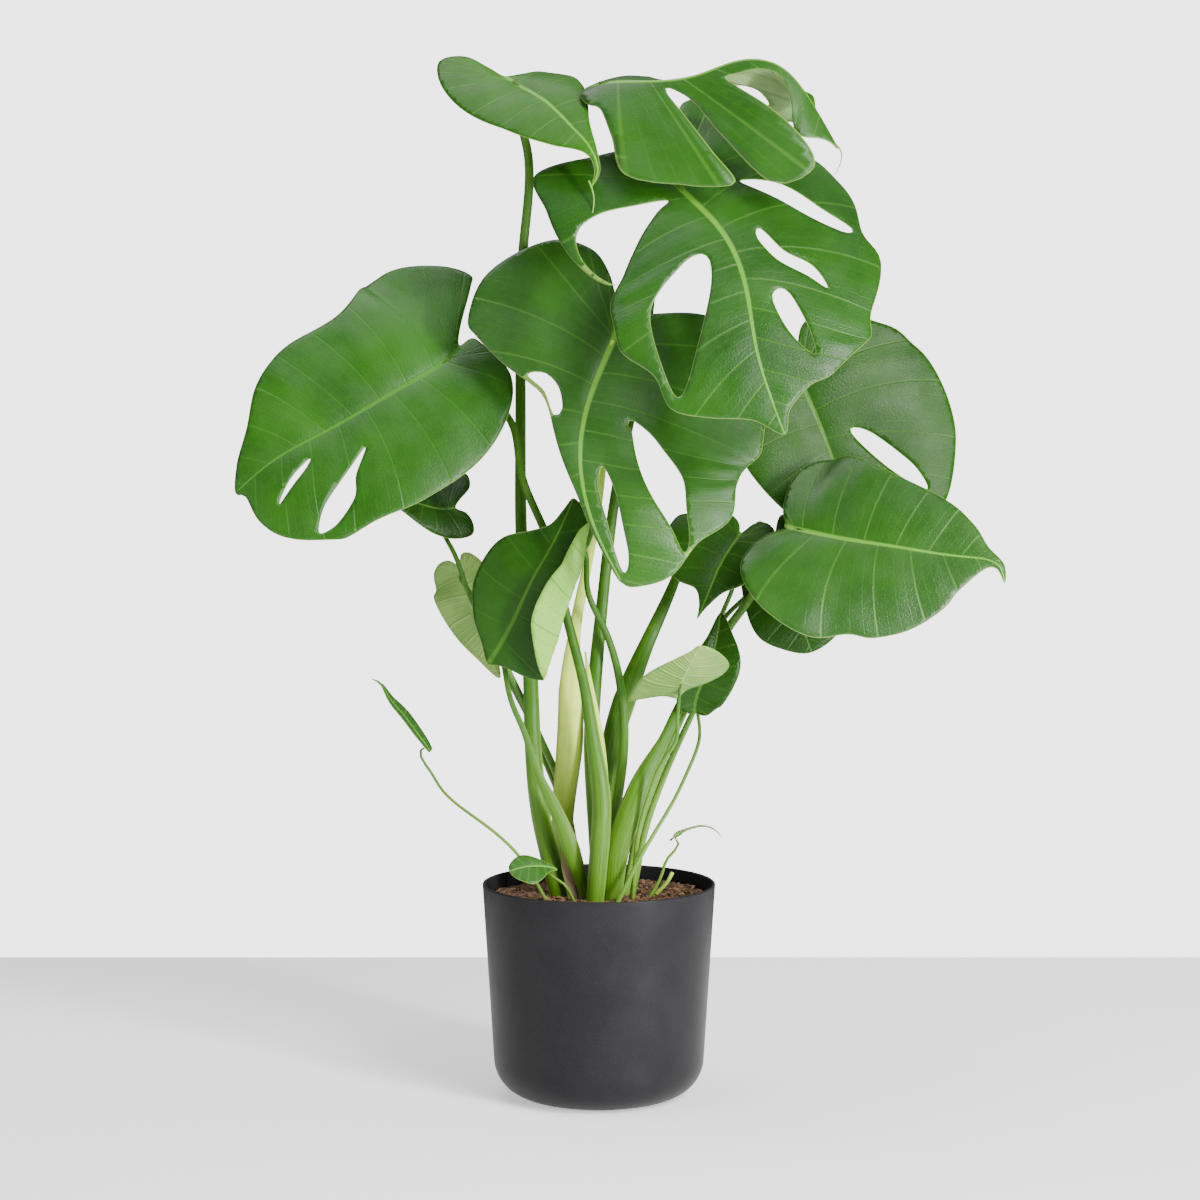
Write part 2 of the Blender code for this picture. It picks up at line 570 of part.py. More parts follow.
def flat_mesh(leaf, blade):
    """The leaf's flat triangles: points (across, along) in millimetres and faces."""
    left = [(-u, v) for u, v in reversed(leaf.left)]
    corners = [(0.0, blade.heel), *leaf.right, (0.0, blade.tip), *left]
    loops = [closed_curve(corners, leaf.step)]
    loops += [closed_curve(hole, leaf.step) for hole in leaf.holes]
    rim = np.concatenate(loops)
    low, high = rim.min(axis=0), rim.max(axis=0)
    grid = []
    for row, v in enumerate(np.arange(low[1], high[1], leaf.step * 0.87)):
        shift = 0.5 * (row % 2)
        for column in range(math.floor(low[0] / leaf.step), math.ceil(high[0] / leaf.step) + 1):
            grid.append(((column + shift) * leaf.step, v))
    grid = np.array(grid)
    clear = np.linalg.norm(grid[:, None] - rim[None], axis=2).min(axis=1) > 0.6 * leaf.step
    clear &= np.abs(grid[:, 0]) > 0.45 * leaf.step
    grid = grid[clear]
    midrib = np.linspace(blade.heel, blade.tip, max(4, round((blade.tip - blade.heel) / leaf.step) + 1))
    points = np.concatenate([rim, [(0.0, v) for v in midrib[1:-1]], grid])
    edges = []
    first = 0
    for loop in loops:
        edges += [(first + i, first + (i + 1) % len(loop)) for i in range(len(loop))]
        first += len(loop)
    edges += [(first + i, first + i + 1) for i in range(len(midrib) - 3)]
    made = delaunay_2d_cdt([Vector(point) for point in points], edges, [], 0, 1e-4)
    points = np.array([tuple(point) for point in made[0]])
    faces = np.array(made[2])
    centres = points[faces].mean(axis=1)
    keep = inside(centres, loops[0])
    for hole in loops[1:]:
        keep &= ~inside(centres, hole)
    faces = faces[keep]
    used = np.unique(faces)
    new_index = np.full(len(points), -1)
    new_index[used] = np.arange(len(used))
    return points[used], new_index[faces]


def build_leaf(name, leaf):
    blade = Blade(leaf)
    flat, faces = flat_mesh(leaf, blade)
    u, v = flat.T
    middle = to_plant(blade.place(u, v))
    half = blade.normal(u, v) * LEAF_THICKNESS / 2
    count = len(flat)
    sides = {}
    for a, b, c in faces:
        for edge in ((a, b), (b, c), (c, a)):
            if edge[::-1] in sides:
                del sides[edge[::-1]]
            else:
                sides[edge] = True
    upper = [(int(a), int(b), int(c)) for a, b, c in faces]
    lower = [(int(c) + count, int(b) + count, int(a) + count) for a, b, c in faces]
    walls = []
    for a, b in sides:
        walls.append((int(b), int(a), int(a) + count))
        walls.append((int(b), int(a) + count, int(b) + count))
    add_object(name, np.concatenate([middle + half, middle - half]), upper + lower + walls, leaf.colour, 0.38)
    return blade


def tube(route, half_widths, depths, sides):
    """A closed tube with an oval section. Its width lies square to the route and to the Y axis."""
    forward = unit(np.gradient(route, axis=0))
    side = unit(np.cross(np.array((0.0, 1.0, 0.0)), forward))
    back = np.cross(forward, side)
    angles = 2 * math.pi * np.arange(sides) / sides
    points = []
    for centre, width, depth, across, through in zip(route, half_widths, depths, side, back):
        for angle in angles:
            points.append(centre + across * width * math.cos(angle) + through * depth * math.sin(angle))
    faces = [tuple(range(sides))[::-1], tuple((len(route) - 1) * sides + i for i in range(sides))]
    for ring in range(len(route) - 1):
        for i in range(sides):
            a = ring * sides + i
            b = ring * sides + (i + 1) % sides
            faces.append((a, b, b + sides, a + sides))
    return points, faces


def stem_route(stem, blades):
    """Stations in metres from under the soil to just short of the leaf, and their half widths."""
    stations = np.array(stem.stations, float)
    route = [to_plant(station[:3]) for station in stations]
    widths = list(stations[:, 3] * MM * PLANT_SCALE * STEM_SCALE)
    way = unit(route[1] - route[0])
    surface = route[0] - way * (route[0][2] - SOIL_TOP) / way[2]
    route = [surface - way * ROOT_DEPTH / way[2], *route]
    widths = [widths[0] * ROOT_TAPER, *widths]
    if stem.leaf:
        blade = blades[stem.leaf]
        top = widths[-1] * STEM_TAPER
        reach = top / MM
        across = np.array([0, -reach, reach, 0, 0])
        near = np.array([0, 0, 0, -reach, reach]) + 2.0
        joint, *edges = to_plant(blade.place(across, near))
        normal = blade.frame(near)[2][0]
        drop = max(0.0, *((joint - edge) @ normal for edge in edges))
        seat = LEAF_THICKNESS / 2 + GAP + drop
        route += [joint - normal * (seat + KNEE_LENGTH * top), joint - normal * seat]
        widths += [top, top * STEM_TAPER]
    return np.array(route), np.array(widths)


def build_stem(name, stem, blades, grow=0.0, hidden=False):
    route, widths = stem_route(stem, blades)
    knots, curve = smooth_curve(route)
    pieces = [max(1, round(gap / (RING_SPACING * PLANT_SCALE))) for gap in np.diff(knots)]
    places = [knots[0]]
    for start, end, count in zip(knots[:-1], knots[1:], pieces):
        places += list(start + (end - start) * (np.arange(count) + 1) / count)
    centres = curve(np.array(places))
    half = np.interp(places, knots, widths)
    if name.startswith("bract"):
        deep = np.minimum(half, BRACT_DEPTH / 2)
    else:
        deep = half * stem.depth
    if grow:
        way = unit(centres[1] - centres[0])
        centres[0] = centres[0] - way * grow
    points, faces = tube(centres, half + grow, deep + grow, stem.sides)
    made = add_object(name, points, faces, stem.colour, 0.4)
    made.hide_render = hidden
    if hidden:
        made.display_type = "WIRE"
    return made


def turned(name, profile, sides, colour, roughness):
    """A closed body of revolution. The profile runs from the axis, up the outside, back to the axis."""
    ring_points = [(radius, z) for radius, z in profile if radius > 0]
    points = []
    for radius, z in ring_points:
        for i in range(sides):
            angle = 2 * math.pi * i / sides
            points.append((radius * math.cos(angle), radius * math.sin(angle), z))
    start, end = len(points), len(points) + 1
    points += [(0.0, 0.0, profile[0][1]), (0.0, 0.0, profile[-1][1])]
    faces = []
    for ring in range(len(ring_points) - 1):
        for i in range(sides):
            a = ring * sides + i
            b = ring * sides + (i + 1) % sides
            faces.append((a, b, b + sides, a + sides))
    last = (len(ring_points) - 1) * sides
    for i in range(sides):
        faces.append((start, (i + 1) % sides, i))
        faces.append((end, last + i, last + (i + 1) % sides))
    return add_object(name, points, faces, colour, roughness)


def pot_side(inset, bottom, top, steps=4):
    """The pot's corner and side, moved in by the inset: (radius, z) from the foot up to the top."""
    radius = CORNER_RADIUS - inset
    centre = FOOT_RADIUS - CORNER_RADIUS, CORNER_RADIUS
    lean = (RIM_RADIUS - FOOT_RADIUS) / (POT_HEIGHT - CORNER_RADIUS)
    line = [(centre[0], bottom)]
    for i in range(1, steps + 1):
        angle = math.pi / 2 * i / steps
        z = centre[1] - (centre[1] - bottom) * math.cos(angle)
        line.append((centre[0] + radius * math.sin(angle), z))
    line.append((FOOT_RADIUS - inset + lean * (top - CORNER_RADIUS), top))
    return line


def build_pot():
    outside = pot_side(0.0, 0.0, POT_HEIGHT - POT_WALL / 2)
    inner = pot_side(POT_WALL, POT_WALL, POT_HEIGHT - POT_WALL / 2)
    lip = RIM_RADIUS - POT_WALL / 2
    shoulder = POT_WALL * LIP_SHOULDER
    drop = POT_HEIGHT - POT_WALL * LIP_DROP
    edge = [(lip + shoulder, drop), (lip, POT_HEIGHT), (lip - shoulder, drop)]
    profile = [(0.0, 0.0), *outside, *edge, *reversed(inner), (0.0, POT_WALL)]
    turned("pot", profile, POT_SIDES, POT_GREY, 0.5)


def build_soil(blades):
    inset = POT_WALL + GAP
    side = pot_side(inset, inset, SOIL_TOP - 1.5 * MM)
    edge = side[-1][0]
    rings = [(edge * part, SOIL_TOP) for part in (0.97, 0.8, 0.6, 0.4, 0.2)]
    soil = turned("soil", [(0.0, inset), *side, *rings, (0.0, SOIL_TOP)], POT_SIDES, SOIL_BROWN, 0.95)
    for point in soil.data.vertices:
        x, y, z = point.co
        if z > SOIL_TOP - 1 * MM:
            reach = min(1.0, 1.2 - math.hypot(x, y) / edge)
            point.co.z = z + SOIL_WAVE * reach * math.sin(x / (9 * MM)) * math.cos(y / (11 * MM) + 0.7)
    for name, stem in STEMS.items():
        cutter = build_stem(name + "_socket", stem, blades, grow=GAP, hidden=True)
        cut = soil.modifiers.new(name, "BOOLEAN")
        cut.operation = "DIFFERENCE"
        cut.solver = "EXACT"
        cut.object = cutter


def main():
    clear_scene()
    build_pot()
    blades = {}
    for name, leaf in LEAVES.items():
        blades[name] = build_leaf(name, leaf)
    for name, stem in STEMS.items():
        build_stem(name, stem, blades)
    build_soil(blades)


main()
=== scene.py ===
"""The looks of a potted monstera plant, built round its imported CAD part.

Lengths are in metres, +Z is up and the pot's foot stands on z = 0. Leaves and stems repeat the
part's own design values, in millimetres from the middle of the soil's surface. Each is laid out
again on a much finer mesh, with veins, a thin margin and a thicker midrib.
"""

import math
from dataclasses import dataclass

import bpy
import numpy as np
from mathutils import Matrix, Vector
from mathutils.geometry import delaunay_2d_cdt


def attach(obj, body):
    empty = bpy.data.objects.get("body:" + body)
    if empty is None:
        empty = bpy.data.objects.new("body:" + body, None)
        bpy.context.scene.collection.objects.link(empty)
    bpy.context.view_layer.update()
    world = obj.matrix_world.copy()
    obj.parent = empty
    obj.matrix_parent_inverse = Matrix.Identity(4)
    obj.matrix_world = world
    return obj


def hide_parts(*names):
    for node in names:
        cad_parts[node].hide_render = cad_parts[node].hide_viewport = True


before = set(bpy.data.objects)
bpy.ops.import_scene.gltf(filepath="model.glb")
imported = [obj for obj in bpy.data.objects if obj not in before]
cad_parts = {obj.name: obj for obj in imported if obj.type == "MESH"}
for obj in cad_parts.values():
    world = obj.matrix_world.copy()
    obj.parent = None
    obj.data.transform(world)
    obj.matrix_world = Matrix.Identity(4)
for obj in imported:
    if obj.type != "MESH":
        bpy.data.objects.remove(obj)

MM = 0.001
POT_HEIGHT = 173 * MM
RIM_RADIUS = 95 * MM
FOOT_RADIUS = 86 * MM
CORNER_RADIUS = 30 * MM
FOOT_BEVEL = 4 * MM
POT_WALL = 2.4 * MM
SOIL_TOP = POT_HEIGHT - 12 * MM
SOIL_DEPTH = 30 * MM
SOIL_GAP = 1.4 * MM
ROOT_DEPTH = 14 * MM

# Leaf sizes are in millimetres.
LEAF_THICKNESS = 0.8
MARGIN_THICKNESS = 0.35
MARGIN_WIDTH = 4.0
FULL_LENGTH = 220.0
ROLL_WIDTH = 9.0
LEAF_STEP = 3.4
RIB_HALF_WIDTH = 1.9
QUILT_HEIGHT = 0.5
RIB_SINK = 0.9
RIB_SWELL = 1.5
SWAY_HEIGHT = 1.6
VEIN_SPACING = 26.0
VEINS_BACK = 0.45
VEINS_FAN = 1.2
VEINS_FORWARD = 1.35
VEINS_CURVE = 0.35

TUBE_STEP = 6 * MM
TUBE_SIDES = 20
TAIL_STEPS = 24
POT_SIDES = 144
SOIL_SIDES = 120
SOIL_RINGS = 46
CHIPS = 900
CHIP_SIDES = 6
FIBRES = 520
FIBRE_STEPS = 7

FLOOR_REACH = 4.0
FLOOR_END = 0.556
FLOOR_GLOW = 0.6
SURROUND_LIGHT = 0.28
WALL_BRIGHTNESS = 3.6
CAMERA_PLACE = (0.0009, -2.0, 0.511)
CAMERA_PITCH = 3.07
CAMERA_LENS = 74.04

MARGIN = (0.21, 0.36, 0.06)

rng = np.random.default_rng(7)


@dataclass
class Leaf:
    """One leaf. Outline points are (distance from the midrib, distance along it from the joint).

    spine: the midrib in space: heel, joint, then on to the tip.
    face: the way the upper side looks, evenly along the spine.
    fold and curl: for the right and the left half, evenly from heel to tip. Fold is in
    degrees up from the face's plane, and curl is in degrees for each 100 mm of width.
    holes: closed outlines, with the right half's distances positive.
    lean: how far forward of square the side veins run for each unit of width, evenly from heel
    to tip. A place along the midrib is where its side vein starts.
    roll: how far from the midrib the right half starts to roll over, evenly from heel to tip.
    """

    spine: tuple
    face: tuple
    fold: tuple
    curl: tuple
    right: tuple
    left: tuple
    holes: tuple = ()
    lean: tuple = (0.0, 0.0)
    roll: tuple = ()
    kind: str = "leaf"


@dataclass
class Stem:
    """A stem: stations of (x, y, z, half width), and the leaf that it carries, if any.

    depth is the sheath's thickness as a part of its width, where the stem is wider than round.
    """

    stations: tuple
    leaf: str = ""
    depth: float = 1.0
    kind: str = "stem"


LEAVES = {
    "leaf_left": Leaf(
        spine=((-104, 22, 456), (-120, 12, 440), (-156, -5, 416), (-221, -30, 377), (-257, -42, 356),
               (-287, -50, 330)),
        face=((-0.15, -0.92, 0.36), (-0.15, -0.93, 0.34), (-0.15, -0.93, 0.30)),
        fold=((5, 8, 8, 4), (5, 8, 10, 8)),
        curl=((-15, -18, -18, -20), (-15, -18, -20, -20)),
        right=((3, -13), (14, -28), (32, -62), (41, -72), (68, -63), (99, -33), (102, 15), (86, 57),
               (84, 104), (76, 131), (62, 151), (35, 172), (16, 195)),
        left=((12, -25), (48, -17), (77, 10), (92, 43), (95, 91), (90, 127), (89, 163), (75, 192),
              (55, 209), (32, 213), (9, 207)),
        holes=(((-31, 105), (-48, 123), (-65, 134), (-76, 159), (-74, 182), (-61, 164), (-47, 136)),
               ((-16, 146), (-24, 158), (-34, 191), (-24, 172))),
        kind="bright",
    ),
    "leaf_centre": Leaf(
        spine=((18, -20, 469), (12, -27, 453), (-5, -46, 411), (-14, -64, 372), (-12, -82, 333),
               (-1, -96, 298), (18, -104, 261)),
        face=((0, -0.92, 0.38), (0, -0.93, 0.36), (0.05, -0.96, 0.25), (0.1, -0.97, 0.1)),
        fold=((2, 2, 0, -10, -20), (4, 4, 4, 4, 4)),
        curl=((-10, -12, -25, -60, -60), (-12, -12, -14, -16, -16)),
        right=((8, -31), (22, -54), (42, -70), (73, -70), (101, -48), (119, -17), (118, 22), (104, 34),
               (74, 48), (51, 56), (35, 65), (23, 86), (7, 134), (3, 173), (2, 205)),
        left=((6, -21), (20, -29), (60, -42), (99, -36), (129, -5), (142, 49), (138, 90), (128, 140),
              (107, 207), (67, 218), (36, 231), (9, 226)),
        holes=(((53, 51), (40, 47), (26, 55), (19, 70), (24, 76), (36, 60)),
               ((-18, 118), (-24, 150), (-16, 197), (-5, 210), (-11, 168), (-12, 133)),
               ((-38, 68), (-60, 88), (-78, 142), (-68, 200), (-54, 219), (-54, 184), (-41, 89),
                (-35, 75))),
    ),
    "leaf_front": Leaf(
        spine=((48, -30, 591), (61, -45, 573), (94, -75, 535), (112, -105, 489), (119, -130, 439),
               (139, -148, 375)),
        face=((0.05, -0.65, 0.75), (0.05, -0.8, 0.6), (0.05, -0.93, 0.38), (0.05, -0.97, 0.2)),
        fold=((0, 0), (0, 0)),
        curl=((-25, -25, -20, -10, -5), (-14, -18, -18, -16, -10)),
        right=((6, -40), (19, -51), (46, -56), (92, -65), (101, -28), (107, 4), (105, 30), (94, 64),
               (102, 26), (99, 6), (87, -4), (66, -5), (42, 2), (17, 12), (32, 17), (62, 31), (86, 53),
               (104, 100), (104, 145), (100, 161), (80, 178), (74, 200), (50, 213), (19, 225)),
        left=((9, -34), (36, -66), (60, -92), (86, -84), (130, -22), (143, 14), (132, 53), (114, 81),
              (118, 101), (97, 140), (89, 176), (53, 207), (33, 212), (11, 226)),
        holes=(((36, 78), (21, 85), (35, 142), (51, 178), (66, 194), (72, 176), (76, 136), (64, 105)),
               ((-46, 24), (-74, 37), (-91, 63), (-106, 79), (-95, 80), (-70, 62)),
               ((-29, 69), (-39, 90), (-58, 104), (-65, 121), (-52, 112), (-31, 97), (-23, 77)),
               ((-24, 122), (-33, 126), (-43, 157), (-43, 186), (-28, 161), (-19, 132))),
        kind="front",
    ),
    "leaf_top": Leaf(
        spine=((-11, -12, 653), (-1, -20, 655), (40, -36, 655), (79, -45, 659), (112, -50, 669),
               (139, -52, 665), (165, -55, 637), (187, -58, 599)),
        face=((0, -0.55, 0.83), (0, -0.55, 0.83), (0, -0.55, 0.83), (0.1, -0.55, 0.83), (0.5, -0.5, 0.7),
              (0.6, -0.5, 0.5)),
        fold=((-5, -30, -38, -38, -30, -20, -5), (-10, -14, -50, -80, -90, -85, -50)),
        curl=((-20, -25, -25, -25, -25, -20, 0), (-25, -25, -25, -25, -30, -30, -20)),
        lean=(-0.6, 0.5, 1.0, 1.1, 1.0, 0.8, 0.6),
        right=((24, 2), (30, 10), (54, 15), (86, 18), (88, 31), (89, 41), (86, 50), (61, 50), (29, 50),
               (12, 50), (8, 54), (20, 60), (49, 58), (90, 59), (92, 70), (85, 76), (66, 81), (43, 85),
               (21, 88), (11, 92), (12, 106), (9, 134), (10, 147), (26, 158), (29, 175), (26, 190),
               (14, 208), (6, 220)),
        left=((9, -7), (20, -1), (29, 3), (34, 9), (25, 20), (23, 34), (48, 48), (74, 58), (82, 70),
              (74, 84), (54, 98), (50, 112), (46, 132), (34, 158), (26, 178), (13, 198), (4, 212)),
        holes=(((-26, 82), (-34, 84), (-43, 81), (-55, 73), (-50, 67), (-36, 72)),),
        kind="arched",
    ),
    "leaf_top_left": Leaf(
        spine=((-76, 12, 666), (-69, 4, 660), (-43, -22, 641), (-20, -45, 616), (-5, -58, 596),
               (-1, -60, 580), (-7, -56, 568)),
        face=((0.1, -0.6, 0.8), (0.15, -0.7, 0.7), (0.2, -0.8, 0.5), (0.4, -0.85, 0.3)),
        fold=((-5, -5, -5, -5, 0), (10, 15, 15, 10, 0)),
        curl=((-45, -40, -30, -15, 0), (-70, -70, -60, -40, 0)),
        right=((3, -30), (9, -58), (28, -68), (44, -42), (50, 0), (42, 55), (24, 89), (6, 110), (3, 125)),
        left=((14, -6), (32, -5), (46, 12), (38, 42), (14, 85), (4, 112), (2, 128)),
        kind="matt",
    ),
    "leaf_back": Leaf(
        spine=((164, 74, 437), (168, 70, 425), (184, 60, 385), (200, 52, 340), (221, 46, 286)),
        face=((0.1, -0.93, 0.35), (0.1, -0.95, 0.3), (0.1, -0.97, 0.2)),
        fold=((5, 5), (5, 5)),
        curl=((-12, -12), (-12, -12)),
        right=((13, -27), (38, -15), (57, 11), (71, 47), (70, 68), (55, 100), (32, 128)),
        left=((17, -45), (49, -53), (75, -35), (100, -15), (114, 33), (108, 91), (80, 140), (38, 157)),
        holes=(((-23, 58), (-39, 63), (-63, 100), (-67, 126), (-46, 102)),),
        kind="dark",
    ),
    "leaf_right": Leaf(
        spine=((149, -12, 303), (158, -18, 301), (192, -34, 294), (238, -50, 287), (288, -62, 280),
               (314, -70, 272), (317, -74, 260)),
        face=((0.15, -0.75, 0.65), (0.15, -0.85, 0.5), (0.15, -0.88, 0.45), (0.1, -0.9, 0.4)),
        fold=((6, 8, 6, 4, 0), (16, 14, 8, 4, 0)),
        curl=((-20, -20, -20, -20, -10), (-20, -22, -20, -20, -10)),
        right=((1, -7), (20, -20), (51, -21), (73, -5), (89, 15), (96, 41), (85, 66), (83, 84), (70, 108),
               (47, 129), (30, 138), (12, 154), (4, 165)),
        left=((4, -12), (18, -21), (51, -28), (76, -17), (81, 17), (67, 64), (48, 117), (30, 142),
              (10, 156), (4, 170)),
    ),
    "leaf_under_left": Leaf(
        spine=((-118, 36, 317), (-125, 32, 316), (-142, 22, 319), (-162, 12, 324), (-178, 4, 325)),
        face=((0, -0.6, 0.8), (0, -0.6, 0.8)),
        fold=((12, 10, 5, 0), (-15, -20, -20, -10)),
        curl=((-20, -20), (-90, -80, -60, -40)),
        right=((8, -16), (20, -31), (36, -36), (41, -24), (38, -4), (21, 33)),
        left=((7, -15), (18, -17), (27, -13), (28, 0), (22, 18), (13, 38)),
        kind="dark",
    ),
    "leaf_pale_left": Leaf(
        spine=((-116, 38, 270), (-112, 36, 263), (-105, 31, 237), (-94, 26, 204), (-82, 22, 177)),
        face=((0.2, 0.9, 0.35), (0.2, 0.92, 0.3), (0.2, 0.95, 0.2)),
        fold=((10, 10, 0), (10, 10, 0)),
        curl=((20, 20), (20, 20)),
        right=((6, -14), (13, -12), (20, 4), (22, 28), (15, 55), (6, 79)),
        left=((7, -17), (19, -20), (31, -14), (37, 9), (26, 42), (12, 69)),
        kind="pale",
    ),
    "leaf_rolled": Leaf(
        spine=((-89, -34, 193), (-85, -36, 199), (-67, -44, 231), (-53, -50, 261), (-37, -50, 289),
               (-20, -40, 326)),
        face=((-0.1, -0.95, 0.25), (-0.1, -0.95, 0.25), (-0.1, -0.95, 0.2)),
        fold=((-5, 0, 5, 5, 0), (5, 5)),
        curl=((1700, 1700), (-25, -25)),
        right=((12, -1), (36, 4), (52, 14), (62, 30), (67, 50), (62, 75), (50, 100), (30, 125), (12, 139)),
        left=((4, -5), (12, 3), (30, 20), (42, 45), (43, 71), (37, 90), (22, 105), (9, 118), (4, 134)),
        roll=(45, 40, 36, 34, 30, 20, 13),
        kind="rolled",
    ),
    "leaf_young": Leaf(
        spine=((-20, -14, 279), (-18, -14, 283), (-10, -18, 305), (-6, -22, 326), (0, -28, 359)),
        face=((-0.5, -0.8, 0.2), (-0.5, -0.8, 0.2)),
        fold=((10, 10), (10, 10)),
        curl=((30, 30), (30, 30)),
        right=((6, -2), (11, 10), (11, 32), (6, 60)),
        left=((6, -2), (11, 10), (11, 32), (6, 60)),
        kind="pale",
    ),
    "leaf_mid_right": Leaf(
        spine=((116, 16, 297), (113, 12, 293), (104, 4, 281), (95, -4, 265), (87, -11, 246),
               (79, -15, 228)),
        face=((0, -0.8, 0.6), (0, -0.88, 0.5), (0, -0.93, 0.35)),
        fold=((8, 8, 4, 0), (8, 8, 4, 0)),
        curl=((-40, -35, -30, -20), (-40, -35, -30, -20)),
        right=((5, -14), (16, -19), (41, -11), (52, 4), (53, 22), (45, 40), (28, 54), (11, 56), (3, 68)),
        left=((5, -20), (14, -26), (24, -21), (32, -7), (34, 13), (25, 38), (11, 52), (3, 68)),
        kind="dark",
    ),
    "leaf_dark_right": Leaf(
        spine=((145, 52, 292), (147, 48, 285), (155, 38, 257), (164, 30, 229), (175, 26, 198)),
        face=((0, -0.8, 0.6), (0, -0.88, 0.5), (0, -0.93, 0.35)),
        fold=((8, 8, 4, 0), (8, 8, 4, 0)),
        curl=((-20, -20), (-20, -20)),
        right=((4, -24), (14, -22), (33, 6), (40, 40), (38, 67), (22, 84)),
        left=((12, -27), (31, -14), (46, 25), (45, 62), (28, 86)),
        kind="dark",
    ),
    "leaf_low_right": Leaf(
        spine=((78, 6, 150), (78, 4, 156), (85, -2, 178), (93, -2, 202), (99, 6, 232)),
        face=((0.1, -0.93, 0.3), (0.1, -0.95, 0.2), (0.1, -0.9, 0.1)),
        fold=((10, 10, 8, 5), (10, 10, 10, 30)),
        curl=((-10, -10), (-10, -10)),
        right=((10, -9), (20, 2), (25, 28), (24, 46), (13, 65)),
        left=((5, -6), (13, -2), (18, 12), (17, 35), (9, 56)),
        kind="dark",
    ),
    "leaf_pale_right": Leaf(
        spine=((63, -22, 165), (64, -25, 170), (71, -36, 189), (81, -46, 209)),
        face=((0, 0.85, 0.5), (0, 0.85, 0.5)),
        fold=((5, 5), (5, 5)),
        curl=((20, 20), (40, 40, 20)),
        right=((12, -7), (29, -15), (38, -20), (36, -6), (30, 6), (16, 24), (6, 38)),
        left=((6, 3), (20, 14), (30, 27), (30, 39), (16, 47)),
        kind="pale",
    ),
    "leaf_tiny_left": Leaf(
        spine=((-137, 0, 119), (-139, 0, 122), (-149, -2, 136), (-160, -4, 151), (-171, -6, 165),
               (-178, -6, 176), (-184, -6, 179)),
        face=((0.75, -0.25, 0.6), (0.75, -0.25, 0.6)),
        fold=((5, 5), (5, 5)),
        curl=((20, 20), (20, 20)),
        right=((5, -3), (9, 6), (11, 24), (9, 44), (3, 64)),
        left=((5, -3), (9, 6), (11, 24), (9, 44), (3, 64)),
    ),
    "leaf_tiny_rim": Leaf(
        spine=((-33, -42, 29), (-37, -44, 31), (-47, -48, 33), (-59, -52, 33), (-71, -56, 30)),
        face=((0, -0.75, 0.65), (0, -0.75, 0.65)),
        fold=((5, 5), (5, 5)),
        curl=((-30, -30), (-30, -30)),
        right=((3, 3), (7, 12), (11, 24), (6, 34)),
        left=((5, 3), (15, 14), (17, 24), (9, 34)),
    ),
    "leaf_tiny_right": Leaf(
        spine=((58, -1, 46), (60, 0, 48), (69, -2, 54), (80, -3, 58), (89, -4, 58), (96, -4, 54),
               (100, -4, 50)),
        face=((0, 0.15, 1), (0.3, 0.15, 0.9)),
        fold=((5, 5), (5, 5)),
        curl=((20, 20), (20, 20)),
        right=((5, 2), (8, 12), (7, 28), (3, 38)),
        left=((5, 2), (8, 12), (7, 28), (3, 38)),
        kind="pale",
    ),
}

